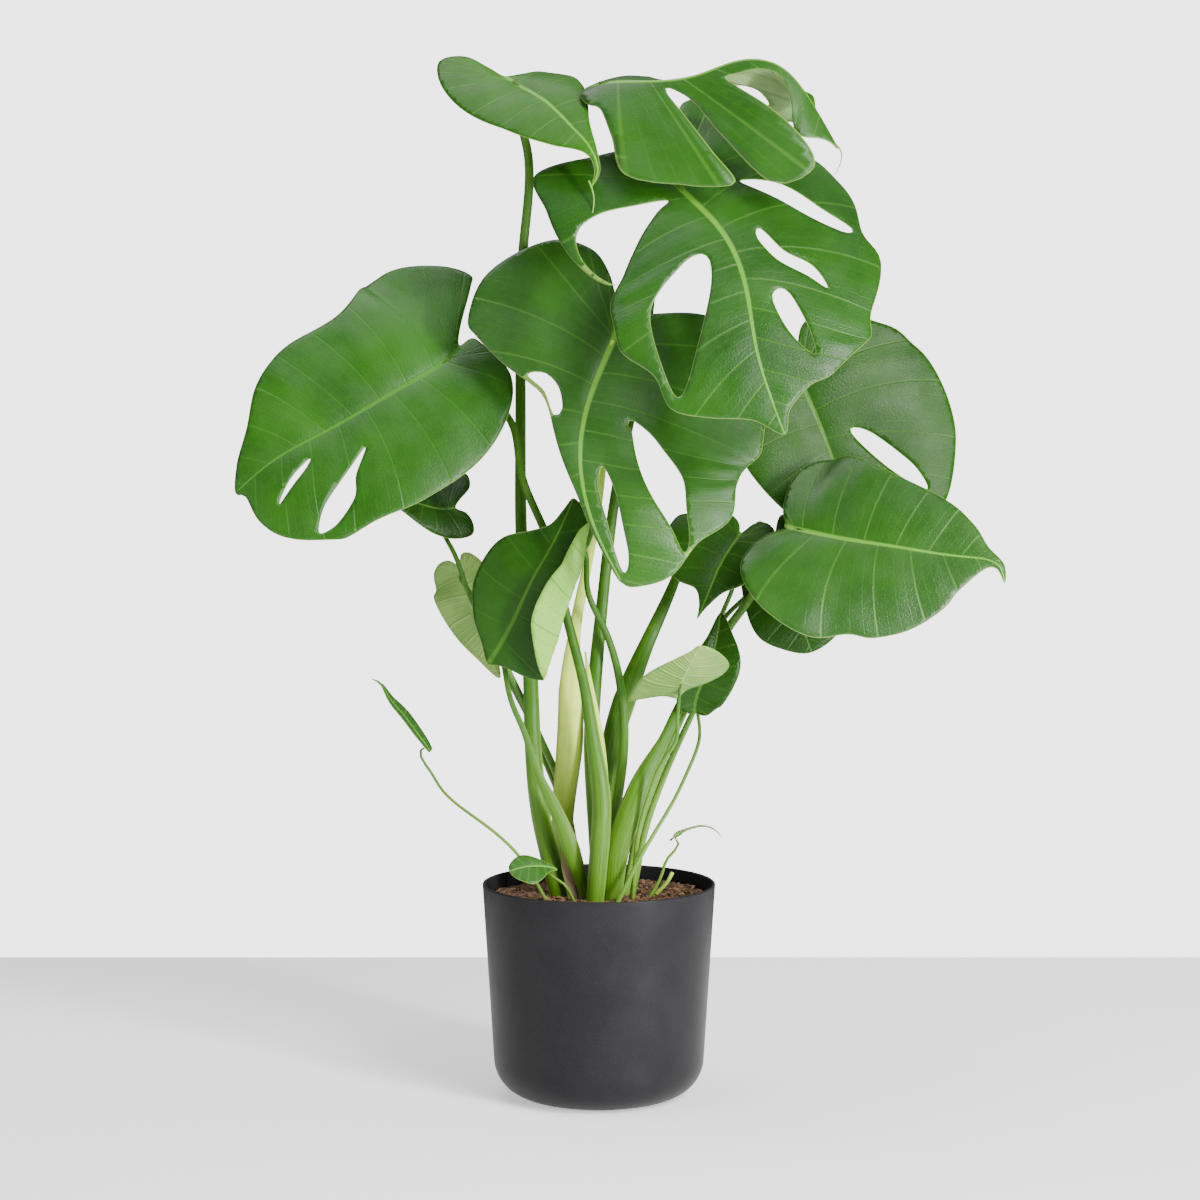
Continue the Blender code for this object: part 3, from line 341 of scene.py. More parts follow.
STEMS = {
    "stem_top_left": Stem(
        ((-37, 2, 20, 7.9), (-47, 2, 64, 7.9), (-53, 3, 112, 7), (-56, 5, 185, 6.1), (-63, 10, 291, 4.9),
         (-64, 15, 348, 4.5), (-64, 21, 421, 4.3), (-61, 22, 535, 3.9), (-58, 16, 607, 3.6)),
        "leaf_top_left",
    ),
    "stem_left": Stem(
        ((-2, -28, 14, 7.5), (1, -28, 51, 8), (2, -27, 86, 7.7), (-3, -26, 121, 6.2), (-12, -24, 176, 4.2),
         (-28, -20, 239, 3.6), (-42, -16, 295, 3.3), (-63, -10, 348, 3.1), (-76, 6, 394, 2.9)),
        "leaf_left",
    ),
    "stem_centre": Stem(
        ((-28, 28, 4, 6), (-30, 24, 60, 9), (-24, 16, 123, 11), (-23, 12, 168, 10), (-20, 8, 214, 5),
         (-6, 0, 287, 3.4), (4, -4, 364, 3.2)),
        "leaf_centre",
        depth=0.5,
        kind="sheath",
    ),
    "stem_front": Stem(
        ((0, 4, 8, 6), (-4, 6, 79, 6.5), (-6, 8, 128, 6.5), (-4, 10, 169, 6), (3, 10, 242, 4.8),
         (13, 8, 325, 4.2), (25, 10, 388, 4), (41, 10, 478, 3.6), (50, -6, 532, 3.4)),
        "leaf_front",
    ),
    "stem_back": Stem(
        ((12, 32, 3, 6), (8, 28, 76, 6.5), (11, 24, 122, 9), (21, 20, 159, 9.5), (39, 20, 205, 6.2),
         (63, 32, 258, 4), (87, 46, 323, 3.8), (135, 70, 383, 3.5)),
        "leaf_back",
        depth=0.6,
    ),
    "stem_right": Stem(
        ((12, -18, 12, 8), (16, -18, 44, 9.5), (25, -17, 70, 10.5), (33, -15, 93, 8.5), (53, -2, 129, 4.6),
         (68, 14, 158, 4.1), (83, 22, 181, 4), (109, 26, 222, 3.6), (126, 24, 246, 3.4),
         (144, 12, 275, 3.2)),
        "leaf_right",
        depth=0.55,
    ),
    "stem_under_left": Stem(
        ((-15, 34, 3, 3.2), (-32, 31, 88, 3.2), (-44, 24, 118, 3), (-62, 14, 159, 2.6), (-93, 4, 222, 2.2),
         (-107, 8, 250, 2.1), (-120, 20, 283, 2)),
        "leaf_under_left",
        kind="slim",
    ),
    "stem_rolled": Stem(
        ((-13, -16, 12, 5), (-23, -18, 43, 7.5), (-34, -19, 72, 5.5), (-52, -20, 111, 3),
         (-60, -20, 137, 2.6), (-73, -26, 173, 2.2)),
        "leaf_rolled",
        depth=0.5,
    ),
    "stem_pale_left": Stem(
        ((-22, 44, 1, 2.6), (-32, 40, 74, 2.5), (-45, 33, 108, 2.3), (-57, 27, 141, 2.1),
         (-77, 18, 184, 1.9), (-97, 18, 238, 1.7)),
        "leaf_pale_left",
        kind="slim",
    ),
    "stem_young": Stem(
        ((7, 15, 6, 4), (14, 8, 72, 4.3), (19, 6, 108, 4.2), (19, 1, 162, 3.6), (2, -8, 225, 2.7),
         (-10, -12, 260, 2.3)),
        "leaf_young",
    ),
    "stem_mid_right": Stem(
        ((23, 4, 8, 3), (31, 2, 50, 3), (43, 2, 87, 2.8), (62, 14, 131, 2.4), (84, 34, 180, 2.2),
         (103, 32, 233, 2), (112, 23, 262, 1.8)),
        "leaf_mid_right",
        kind="slim",
    ),
    "stem_dark_right": Stem(
        ((29, 16, 6, 3), (37, 14, 49, 3), (49, 18, 85, 2.8), (69, 28, 130, 2.6), (88, 44, 174, 2.3),
         (102, 48, 222, 2.1), (126, 54, 246, 2)),
        "leaf_dark_right",
        kind="slim",
    ),
    "stem_low_right": Stem(
        ((20, -34, 11, 1.8), (35, -28, 40, 1.7), (62, -10, 83, 1.5), (73, -2, 105, 1.5), (81, 6, 124, 1.5),
         (82, 12, 142, 1.4)),
        "leaf_low_right",
        kind="slim",
    ),
    "stem_pale_right": Stem(
        ((28, -18, 10, 1.8), (31, -24, 50, 1.7), (42, -28, 93, 1.6), (52, -30, 116, 1.6),
         (62, -31, 132, 1.5), (63, -30, 151, 1.5)),
        "leaf_pale_right",
        kind="slim",
    ),
    "stem_tiny_left": Stem(
        ((-48, -20, 10, 1.5), (-63, -22, 35, 1.4), (-97, -16, 65, 1.3), (-130, -5, 92, 1.2),
         (-137, -2, 103, 1.2)),
        "leaf_tiny_left",
        kind="slim",
    ),
    "stem_tiny_rim": Stem(((-23, -34, 8, 1.3), (-29, -40, 18, 1.1)), "leaf_tiny_rim", kind="slim"),
    "stem_tiny_right": Stem(
        ((43, -2, 3, 1.4), (51, -2, 18, 1.3), (57, -1, 33, 1.2)),
        "leaf_tiny_right",
        kind="slim",
    ),
    "stem_top": Stem(
        ((-2, 52, 2, 5), (6, 50, 73, 4.6), (13, 46, 119, 4.4), (23, 44, 157, 4.4), (41, 48, 203, 4.2),
         (64, 56, 256, 3.6), (84, 66, 310, 3.6), (101, 72, 365, 3.6), (108, 72, 423, 3.6),
         (106, 62, 481, 3.6), (93, 44, 537, 3.5), (74, 30, 568, 3.4), (45, 12, 592, 3.3), (19, -4, 612, 3)),
        "leaf_top",
    ),
    "bract_tall": Stem(
        ((4, -9, 10, 3), (3, -12, 40, 6), (2, -14, 81, 7), (-1, -15, 130, 5.5), (-6, -16, 167, 3),
         (-11, -16, 202, 0.8)),
        kind="sheath",
    ),
    "bract_short": Stem(((-23, -12, 11, 4), (-26, -11, 28, 5), (-29, -11, 47, 0.8)), kind="paper"),
    "stub": Stem(((47, 4, 2, 1.6), (56, 2, 12, 1.6), (60, 0, 20, 1.5)), kind="sheath"),
}

# The thin dried tips of two leaves, in millimetres like the leaves, from the blade out.
TAILS = {
    "leaf_top_left": ((-8, -57, 574), (-5, -58, 566), (-4, -59, 555), (-8, -59, 545), (-14, -58, 547)),
    "leaf_top": ((184, -58, 603), (189, -59, 596), (188, -60, 586), (184, -60, 578)),
}


def unit(vectors):
    return vectors / np.linalg.norm(vectors, axis=-1, keepdims=True)


def to_plant(point):
    """Millimetres from the middle of the soil's surface, to metres in the scene."""
    return np.asarray(point, float) * MM + (0.0, 0.0, SOIL_TOP)


def smooth_curve(points):
    """A natural cubic through the points. It returns a function of the distance along their chords."""
    points = np.asarray(points, float)
    knots = np.concatenate([[0.0], np.cumsum(np.linalg.norm(np.diff(points, axis=0), axis=1))])
    widths = np.diff(knots)
    count = len(knots)
    matrix = np.eye(count)
    right = np.zeros_like(points)
    for i in range(1, count - 1):
        before, after = widths[i - 1], widths[i]
        matrix[i, i - 1 : i + 2] = before, 2 * (before + after), after
        right[i] = 6 * ((points[i + 1] - points[i]) / after - (points[i] - points[i - 1]) / before)
    bends = np.linalg.solve(matrix, right)

    def at(distance):
        distance = np.clip(distance, 0.0, knots[-1])
        i = np.clip(np.searchsorted(knots, distance) - 1, 0, count - 2)
        width = widths[i][:, None]
        before = (distance - knots[i])[:, None]
        after = (knots[i + 1] - distance)[:, None]
        cubic = (bends[i] * after**3 + bends[i + 1] * before**3) / (6 * width)
        line = (points[i] / width - bends[i] * width / 6) * after
        return cubic + line + (points[i + 1] / width - bends[i + 1] * width / 6) * before

    return knots, at


def along(values, part):
    """Values given evenly from the start to the end, read at a part of the way."""
    values = np.asarray(values, float)
    places = np.linspace(0.0, 1.0, len(values))
    if values.ndim == 1:
        return np.interp(part, places, values)
    return np.stack([np.interp(part, places, column) for column in values.T], -1)


class Blade:
    """The bent surface of a leaf: it places (across, along) in millimetres into the scene."""

    SAMPLES = 300

    def __init__(self, leaf):
        self.leaf = leaf
        knots, curve = smooth_curve(leaf.spine)
        distance = np.linspace(0.0, knots[-1], self.SAMPLES)
        self.points = curve(distance)
        arc = np.concatenate([[0.0], np.cumsum(np.linalg.norm(np.diff(self.points, axis=0), axis=1))])
        self.arc = arc - np.interp(knots[1], distance, arc)
        self.faces = along(leaf.face, distance / knots[-1])
        self.tangents = unit(np.gradient(self.points, axis=0))
        self.heel, self.tip = self.arc[0], self.arc[-1]

    def read(self, rows, place):
        return np.stack([np.interp(place, self.arc, column) for column in rows.T], -1)

    def frame(self, v):
        """(middle, forward, face, side) at a distance along the midrib, and that distance held to it."""
        place = np.clip(v, self.heel, self.tip)
        forward = unit(self.read(self.tangents, place))
        face = self.read(self.faces, place)
        face = unit(face - (face * forward).sum(-1, keepdims=True) * forward)
        middle = self.read(self.points, place) + forward * (v - place)[..., None]
        return middle, forward, face, np.cross(forward, face), place

    def place(self, u, v):
        """Points of the middle surface, in plant millimetres."""
        leaf = self.leaf
        middle, forward, face, side, place = self.frame(v)
        part = (place - self.heel) / (self.tip - self.heel)
        on_right = u >= 0
        fold, curl = (
            np.radians(np.where(on_right, along(right, part), along(left, part)))
            for right, left in (leaf.fold, leaf.curl)
        )
        curl = curl / 100.0
        curl = np.where(np.abs(curl) < 1e-6, 1e-6, curl)
        width = np.abs(u)
        middle = middle + forward * (along(leaf.lean, part) * width)[..., None]
        rolled = on_right & bool(leaf.roll)
        start = np.where(rolled, along(leaf.roll or (0, 0), part), 0.0)
        inner = np.minimum(width, start)
        bent = np.maximum(width - start, 0.0)
        outer = np.where(rolled, np.maximum(bent - ROLL_WIDTH, 0.0), 0.0)
        turned = fold + curl * (bent - outer)
        sideways = inner * np.cos(fold) + (np.sin(turned) - np.sin(fold)) / curl + outer * np.cos(turned)
        upwards = inner * np.sin(fold) + (np.cos(fold) - np.cos(turned)) / curl + outer * np.sin(turned)
        return middle + side * (np.sign(u) * sideways)[..., None] + face * upwards[..., None]

    def normal(self, u, v, reach=0.8):
        across = self.place(u + reach, v) - self.place(u - reach, v)
        forward = self.place(u, v + reach) - self.place(u, v - reach)
        return unit(np.cross(across, forward))


def closed_curve(points, step):
    """A rounded closed line through the points, with samples about a step apart."""
    points = np.asarray(points, float)
    count = len(points)
    samples = []
    for i in range(count):
        before, start, end, after = (points[(i + k) % count] for k in (-1, 0, 1, 2))
        squared = 2 * before - 5 * start + 4 * end - after
        cubed = 3 * start - before - 3 * end + after
        pieces = max(1, round(float(np.linalg.norm(end - start)) / step))
        for t in np.arange(pieces) / pieces:
            samples.append(0.5 * (2 * start + (end - before) * t + squared * t**2 + cubed * t**3))
    return np.array(samples)


def inside(points, loop):
    """Which points lie inside a closed loop."""
    found = np.zeros(len(points), bool)
    for (x0, y0), (x1, y1) in zip(loop, np.roll(loop, -1, axis=0)):
        if y0 == y1:
            continue
        crosses = (y0 > points[:, 1]) != (y1 > points[:, 1])
        found ^= crosses & (points[:, 0] < x0 + (points[:, 1] - y0) * (x1 - x0) / (y1 - y0))
    return found


def gap_to(points, others):
    """Each point's distance to the nearest of the others."""
    return np.linalg.norm(points[:, None] - others[None], axis=2).min(axis=1)


def flat_points(blade, rim, step):
    """Points inside the outline's box: a staggered grid, closer rows beside the midrib, and the midrib."""
    low, high = rim.min(axis=0), rim.max(axis=0)
    rows = np.arange(low[1], high[1], step * 0.87)
    columns = np.arange(math.floor(low[0] / step), math.ceil(high[0] / step) + 1)
    u = (columns[None] + 0.5 * (np.arange(len(rows)) % 2)[:, None]) * step
    grid = np.stack([u, np.broadcast_to(rows[:, None], u.shape)], -1).reshape(-1, 2)
    grid = grid[np.abs(grid[:, 0]) > 2.2 * step]
    ribs = np.arange(blade.heel, blade.tip, step * 0.8)
    for k, side in enumerate((-1.7, -1.0, -0.5, 0.5, 1.0, 1.7)):
        row = np.stack([np.full(len(ribs), side * step), ribs + 0.4 * step * (k % 2)], -1)
        grid = np.concatenate([grid, row])
    grid = grid[gap_to(grid, rim) > 0.6 * step]
    midrib = np.linspace(blade.heel, blade.tip, round((blade.tip - blade.heel) / step) + 1)
    return grid, [(0.0, v) for v in midrib[1:-1]]


def flat_mesh(leaf, blade, step):
    """The leaf's flat triangles: points (across, along), faces, and each point's distance to the margin."""
    left = [(-u, v) for u, v in reversed(leaf.left)]
    corners = [(0.0, blade.heel), *leaf.right, (0.0, blade.tip), *left]
    loops = [closed_curve(line, step) for line in (corners, *leaf.holes)]
    rim = np.concatenate(loops)
    grid, midrib = flat_points(blade, rim, step)
    points = np.concatenate([rim, midrib, grid])
    edges = []
    first = 0
    for loop in loops:
        edges += [(first + i, first + (i + 1) % len(loop)) for i in range(len(loop))]
        first += len(loop)
    edges += [(first + i, first + i + 1) for i in range(len(midrib) - 1)]
    made = delaunay_2d_cdt([Vector(point) for point in points], edges, [], 0, 1e-4)
    points = np.array([tuple(point) for point in made[0]])
    faces = np.array(made[2])
    centres = points[faces].mean(axis=1)
    keep = inside(centres, loops[0])
    for hole in loops[1:]:
        keep &= ~inside(centres, hole)
    used, faces = np.unique(faces[keep], return_inverse=True)
    points = points[used]
    margin = np.concatenate([closed_curve(loop, 1.0) for loop in loops])
    distance = np.concatenate([gap_to(part, margin) for part in np.array_split(points, 12)])
    return points, faces.reshape(-1, 3), distance


def vein_rank(u, v, length, leans):
    """Counts the side veins from the joint on: a vein runs where the rank is a whole number."""
    offset = np.where(u >= 0, 0.3, 0.75)
    if leans:
        return v / VEIN_SPACING + offset
    width = np.maximum(np.abs(u), 1e-3)
    start = v + VEINS_BACK * width - VEINS_CURVE * width**2 / length
    ahead = start / (1 + VEINS_FORWARD * width / length)
    behind = (v / width + VEINS_BACK) * VEINS_FAN
    return np.where(start >= 0, ahead / min(VEIN_SPACING, length / 6), behind) + offset


def vein_gap(u, v, length, leans, reach=0.4):
    """The distance between side veins at a point, in millimetres."""
    here = vein_rank(u, v, length, leans)
    across = vein_rank(u + np.sign(u + 1e-9) * reach, v, length, leans) - here
    forward = vein_rank(u, v + reach, length, leans) - here
    return np.clip(reach / np.maximum(np.hypot(across, forward), 1e-6), 0.5, 60.0)


def add_attributes(made, **titled):
    """Stores a number for each point under each title, for the materials to read."""
    for title, values in titled.items():
        stored = made.data.attributes.new(title, "FLOAT", "POINT")
        stored.data.foreach_set("value", np.asarray(values, np.float32))


def link(name, data):
    made = bpy.data.objects.new(name, data)
    bpy.context.scene.collection.objects.link(made)
    return made


def mesh_piece(name, points, faces, materials, face_materials=None, smooth=True):
    """Adds a mesh that rides with the plant."""
    mesh = bpy.data.meshes.new(name)
    mesh.from_pydata(np.asarray(points).tolist(), [], [list(map(int, face)) for face in faces])
    for each in materials:
        mesh.materials.append(each)
    mesh.polygons.foreach_set("use_smooth", np.full(len(mesh.polygons), smooth))
    if face_materials is not None:
        mesh.polygons.foreach_set("material_index", np.asarray(face_materials, np.int32))
    made = link(name, mesh)
    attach(made, "root")
    return made


def build_leaf(name, leaf, looks):
    blade = Blade(leaf)
    length = blade.tip
    flat, faces, edge = flat_mesh(leaf, blade, min(LEAF_STEP, length / 16))
    u, v = flat.T
    leans = any(leaf.lean)
    rank = vein_rank(u, v, length, leans)
    gap = vein_gap(u, v, length, leans)
    size = length / FULL_LENGTH
    midrib = np.exp(-((u / (2.2 + 2.4 * size)) ** 2)) * np.clip((length - v) / length, 0.15, 1.0)
    bulge = 0.5 - 0.5 * np.cos(2 * math.pi * rank)
    quilt = bulge * np.clip(np.abs(u) / 16, 0, 1) * np.clip(edge / 12, 0, 1) * np.clip(gap / 16, 0, 1.2)
    phase = sum(map(ord, name)) * 0.7
    sway = np.sin(v / (21 * size + 4) + phase) * np.sin(u / (31 * size + 4) + 1.3 * phase)
    sway = sway * np.clip(np.abs(u) / 60, 0, 1)
    lift = QUILT_HEIGHT * quilt * size**0.5 - RIB_SINK * midrib * size + SWAY_HEIGHT * sway * size
    swell = RIB_SWELL * midrib * size + 0.25 * (1 - bulge) * size
    thick = MARGIN_THICKNESS + (LEAF_THICKNESS - MARGIN_THICKNESS) * np.clip(edge / MARGIN_WIDTH, 0, 1)
    normal = blade.normal(u, v)
    middle = blade.place(u, v)
    upper = middle + normal * (lift + thick / 2)[:, None]
    lower = middle + normal * (lift - thick / 2 - swell)[:, None]
    count = len(flat)
    directed = np.concatenate([faces[:, [0, 1]], faces[:, [1, 2]], faces[:, [2, 0]]])
    known = set(map(tuple, directed.tolist()))
    border = [(a, b) for a, b in known if (b, a) not in known]
    walls = [(b, a, a + count, b + count) for a, b in sorted(border)]
    all_faces = faces.tolist() + (faces[:, ::-1] + count).tolist() + walls
    sides = [0] * len(faces) + [1] * len(faces) + [2] * len(walls)
    points = to_plant(np.concatenate([upper, lower]))
    made = mesh_piece(name + "_blade", points, all_faces, looks[leaf.kind], sides)
    rib = np.abs(u) / (RIB_HALF_WIDTH * size * np.clip(1 - v / length, 0.0, 1.0) + 0.5)
    titled = {"across": u, "forward": v, "rank": rank, "gap": gap, "margin": edge, "rib": rib}
    add_attributes(made, **{title: np.tile(values, 2) for title, values in titled.items()})
    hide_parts(name)
    return blade


def turns(count):
    """Angles evenly round a circle."""
    return 2 * math.pi * np.arange(count) / count


def ring_faces(rings, sides, first=0):
    """The faces between one ring of points and the next."""
    faces = []
    for ring in range(rings - 1):
        for i in range(sides):
            a = first + ring * sides + i
            b = first + ring * sides + (i + 1) % sides
            faces.append((a, b, b + sides, a + sides))
    return faces


def tube(route, half_widths, depths, sides):
    """A closed tube with an oval section. Its width lies square to the route and to the Y axis."""
    forward = unit(np.gradient(route, axis=0))
    side = unit(np.cross(np.array((0.0, 1.0, 0.0)), forward))
    back = np.cross(forward, side)
    angles = turns(sides)
    ring = np.cos(angles)[None, :, None] * (side * half_widths[:, None])[:, None]
    ring = ring + np.sin(angles)[None, :, None] * (back * depths[:, None])[:, None]
    points = (route[:, None] + ring).reshape(-1, 3)
    caps = [tuple(range(sides))[::-1], tuple(range(len(points) - sides, len(points)))]
    return points, caps + ring_faces(len(route), sides)


def stem_route(stem, blades):
    """Stations in metres from under the soil up to the leaf, and their half widths."""
    stations = np.array(stem.stations, float)
    route = list(to_plant(stations[:, :3]))
    widths = list(stations[:, 3] * MM)
    way = unit(route[1] - route[0])
    surface = route[0] - way * (route[0][2] - SOIL_TOP) / way[2]
    route = [surface - way * ROOT_DEPTH / way[2], *route]
    widths = [widths[0] * 0.9, *widths]
    if stem.leaf:
        blade = blades[stem.leaf]
        joint, ahead = to_plant(blade.place(np.zeros(2), np.array([2.0, 9.0])))
        normal = blade.frame(np.array([2.0]))[2][0]
        top = widths[-1] * 0.85
        below = (0.6 * LEAF_THICKNESS + 0.8) * MM
        route += [joint - normal * (below + 3.2 * top), joint - normal * below, ahead - normal * 1.2 * MM]
        widths += [top, top * 0.85, top * 0.45]
    return np.array(route), np.array(widths)


def build_stem(name, stem, blades, looks):
    route, widths = stem_route(stem, blades)
    knots, curve = smooth_curve(route)
    places = np.linspace(0.0, knots[-1], max(6, round(knots[-1] / TUBE_STEP)))
    half = np.interp(places, knots, widths)
    deep = half * stem.depth
    if name.startswith("bract"):
        deep = np.minimum(half, 0.7 * MM)
    points, faces = tube(curve(places), half, deep, TUBE_SIDES)
    made = mesh_piece(name + "_skin", points, faces, [looks[stem.kind]])
    add_attributes(
        made,
        forward=np.repeat(places / MM, TUBE_SIDES),
        across=np.tile(np.cos(turns(TUBE_SIDES)), len(places)),
        around=np.tile(np.sin(turns(TUBE_SIDES)), len(places)),
        left=np.repeat((knots[-1] - places) / MM, TUBE_SIDES),
    )
    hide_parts(name)


def build_tail(name, route, look):
    knots, curve = smooth_curve(to_plant(route))
    half = np.linspace(0.75, 0.3, TAIL_STEPS) * MM
    points, faces = tube(curve(np.linspace(0.0, knots[-1], TAIL_STEPS)), half, half, 8)
    mesh_piece(name + "_tail", points, faces, [look])


def pot_side(inset, bottom, top, steps=14):
    """The pot's corner and side, moved in by the inset: (radius, z) from the foot up to the top."""
    radius = CORNER_RADIUS - inset
    centre = FOOT_RADIUS - CORNER_RADIUS
    lean = (RIM_RADIUS - FOOT_RADIUS) / (POT_HEIGHT - CORNER_RADIUS)
    line = [(centre, bottom)]
    for i in range(1, steps + 1):
        angle = math.pi / 2 * i / steps
        height = CORNER_RADIUS - (CORNER_RADIUS - bottom) * math.cos(angle)
        line.append((centre + radius * math.sin(angle), height))
    for z in np.linspace(CORNER_RADIUS, top, 12)[1:]:
        line.append((FOOT_RADIUS - inset + lean * (z - CORNER_RADIUS), z))
    return line


def build_pot(look):
    """A body of revolution. Its profile runs from the axis, up the outside, back to the axis."""
    half = POT_WALL / 2
    rings = [(FOOT_RADIUS - CORNER_RADIUS - FOOT_BEVEL, 0.0), *pot_side(0.0, 0.0, POT_HEIGHT - half)]
    for i in range(1, 8):
        angle = math.pi * i / 8
        rings.append((RIM_RADIUS - half + half * math.cos(angle), POT_HEIGHT - half + half * math.sin(angle)))
    rings += reversed(pot_side(POT_WALL, POT_WALL, POT_HEIGHT - half))
    angles = turns(POT_SIDES)
    circle = np.stack([np.cos(angles), np.sin(angles), np.zeros(POT_SIDES)], -1)
    points = [radius * circle + (0.0, 0.0, z) for radius, z in rings]
    points = np.concatenate([*points, [(0.0, 0.0, 0.0), (0.0, 0.0, POT_WALL)]])
    faces = ring_faces(len(rings), POT_SIDES)
    start = len(rings) * POT_SIDES
    last = start - POT_SIDES
    for i in range(POT_SIDES):
        after = (i + 1) % POT_SIDES
        faces.append((start, after, i))
        faces.append((start + 1, last + i, last + after))
    made = mesh_piece("pot_body", points, faces, [look])
    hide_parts("pot")


def soil_height(x, y):
    """The soil's surface above its level, in metres."""
    waves = np.sin(x / 0.013 + 0.4) * np.cos(y / 0.016) + 0.6 * np.sin((x + y) / 0.007 + 1.0)
    grain = 0.5 * np.sin(x / 0.0031) * np.sin(y / 0.0027 + 0.5)
    return (0.9 * waves + grain) * MM


def build_soil(look, litter):
    edge = RIM_RADIUS - POT_WALL - SOIL_GAP
    angles = turns(SOIL_SIDES)
    radii = edge * np.arange(1, SOIL_RINGS + 1)[:, None] / SOIL_RINGS
    x, y = radii * np.cos(angles), radii * np.sin(angles)
    flat = np.stack([x, y, np.full(x.shape, SOIL_TOP)], -1)
    points = np.concatenate([[(0.0, 0.0, SOIL_TOP)], flat.reshape(-1, 3)])
    points[:, 2] += soil_height(points[:, 0], points[:, 1])
    under = points[-SOIL_SIDES:] - (0, 0, SOIL_DEPTH)
    points = np.concatenate([points, under, [(0, 0, SOIL_TOP - SOIL_DEPTH)]])
    faces = [(0, 1 + i, 1 + (i + 1) % SOIL_SIDES) for i in range(SOIL_SIDES)]
    faces += [(a, d, c, b) for a, b, c, d in ring_faces(SOIL_RINGS + 1, SOIL_SIDES, first=1)]
    last = 1 + SOIL_RINGS * SOIL_SIDES
    faces += [(len(points) - 1, last + (i + 1) % SOIL_SIDES, last + i) for i in range(SOIL_SIDES)]
    made = mesh_piece("soil_bed", points, faces, [look])
    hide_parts("soil")
    build_litter(edge - 3 * MM, litter)


def strewn(reach):
    """A random place on the soil, within reach of its middle."""
    radius = reach * math.sqrt(rng.random())
    turn = rng.random() * 2 * math.pi
    return radius * math.cos(turn), radius * math.sin(turn)


def coir_chip(reach):
    """The points and faces of a small flat-sided chip."""
    x, y = strewn(reach)
    size = rng.uniform(1.2, 4.2) * MM
    centre = np.array([x, y, SOIL_TOP + soil_height(x, y) + 0.25 * size])
    stretch = np.array([1.0, rng.uniform(0.4, 0.9), rng.uniform(0.25, 0.5)]) * size
    axis = unit(rng.normal(size=3) * (0.35, 0.35, 1.0))
    across = unit(np.cross(axis, rng.normal(size=3)))
    basis = np.stack([across, np.cross(axis, across), axis])
    sides = CHIP_SIDES
    ring = 2 * math.pi * (np.arange(sides) + rng.uniform(-0.3, 0.3, sides)) / sides
    rim = np.stack([np.cos(ring), np.sin(ring), rng.uniform(-0.3, 0.3, sides)], -1)
    rim = rim * rng.uniform(0.7, 1.1, (sides, 1))
    shape = np.concatenate([rim, [(0, 0, 1.0), (0, 0, -1.0)]]) * stretch
    faces = [(i, (i + 1) % sides, sides) for i in range(sides)]
    faces += [((i + 1) % sides, i, sides + 1) for i in range(sides)]
    return centre + shape @ basis, faces


def coir_fibre(reach):
    """The points and faces of a thin bent fibre that arches over the soil."""
    x, y = strewn(reach - 6 * MM)
    heading = rng.random() * 2 * math.pi
    length = rng.uniform(8, 26) * MM
    bend = rng.uniform(-1.6, 1.6)
    thin = np.full(FIBRE_STEPS, rng.uniform(0.12, 0.3) * MM)
    part = np.linspace(-0.5, 0.5, FIBRE_STEPS)
    way = heading + bend * part
    x = x + np.cumsum(np.cos(way)) * length / FIBRE_STEPS
    y = y + np.cumsum(np.sin(way)) * length / FIBRE_STEPS
    shrink = np.minimum(1.0, reach / np.maximum(np.hypot(x, y), 1e-6))
    x, y = x * shrink, y * shrink
    arch = rng.uniform(0.3, 2.4) * MM * (1 - (2 * part) ** 2)
    route = np.stack([x, y, SOIL_TOP + soil_height(x, y) + 0.4 * MM + arch], -1)
    return tube(route, thin, thin, 4)


def build_litter(reach, look):
    """Chips and fibres of coir, strewn over the soil."""
    points, faces, shades = [], [], []
    for i in range(CHIPS + FIBRES):
        made_points, made_faces = coir_chip(reach) if i < CHIPS else coir_fibre(reach)
        faces += [tuple(len(points) + k for k in face) for face in made_faces]
        points += made_points.tolist()
        shade = rng.random() if i < CHIPS else rng.uniform(0.5, 1.3)
        shades += [shade] * len(made_points)
    made = mesh_piece("soil_litter", points, faces, [look], smooth=False)
    add_attributes(made, shade=shades)


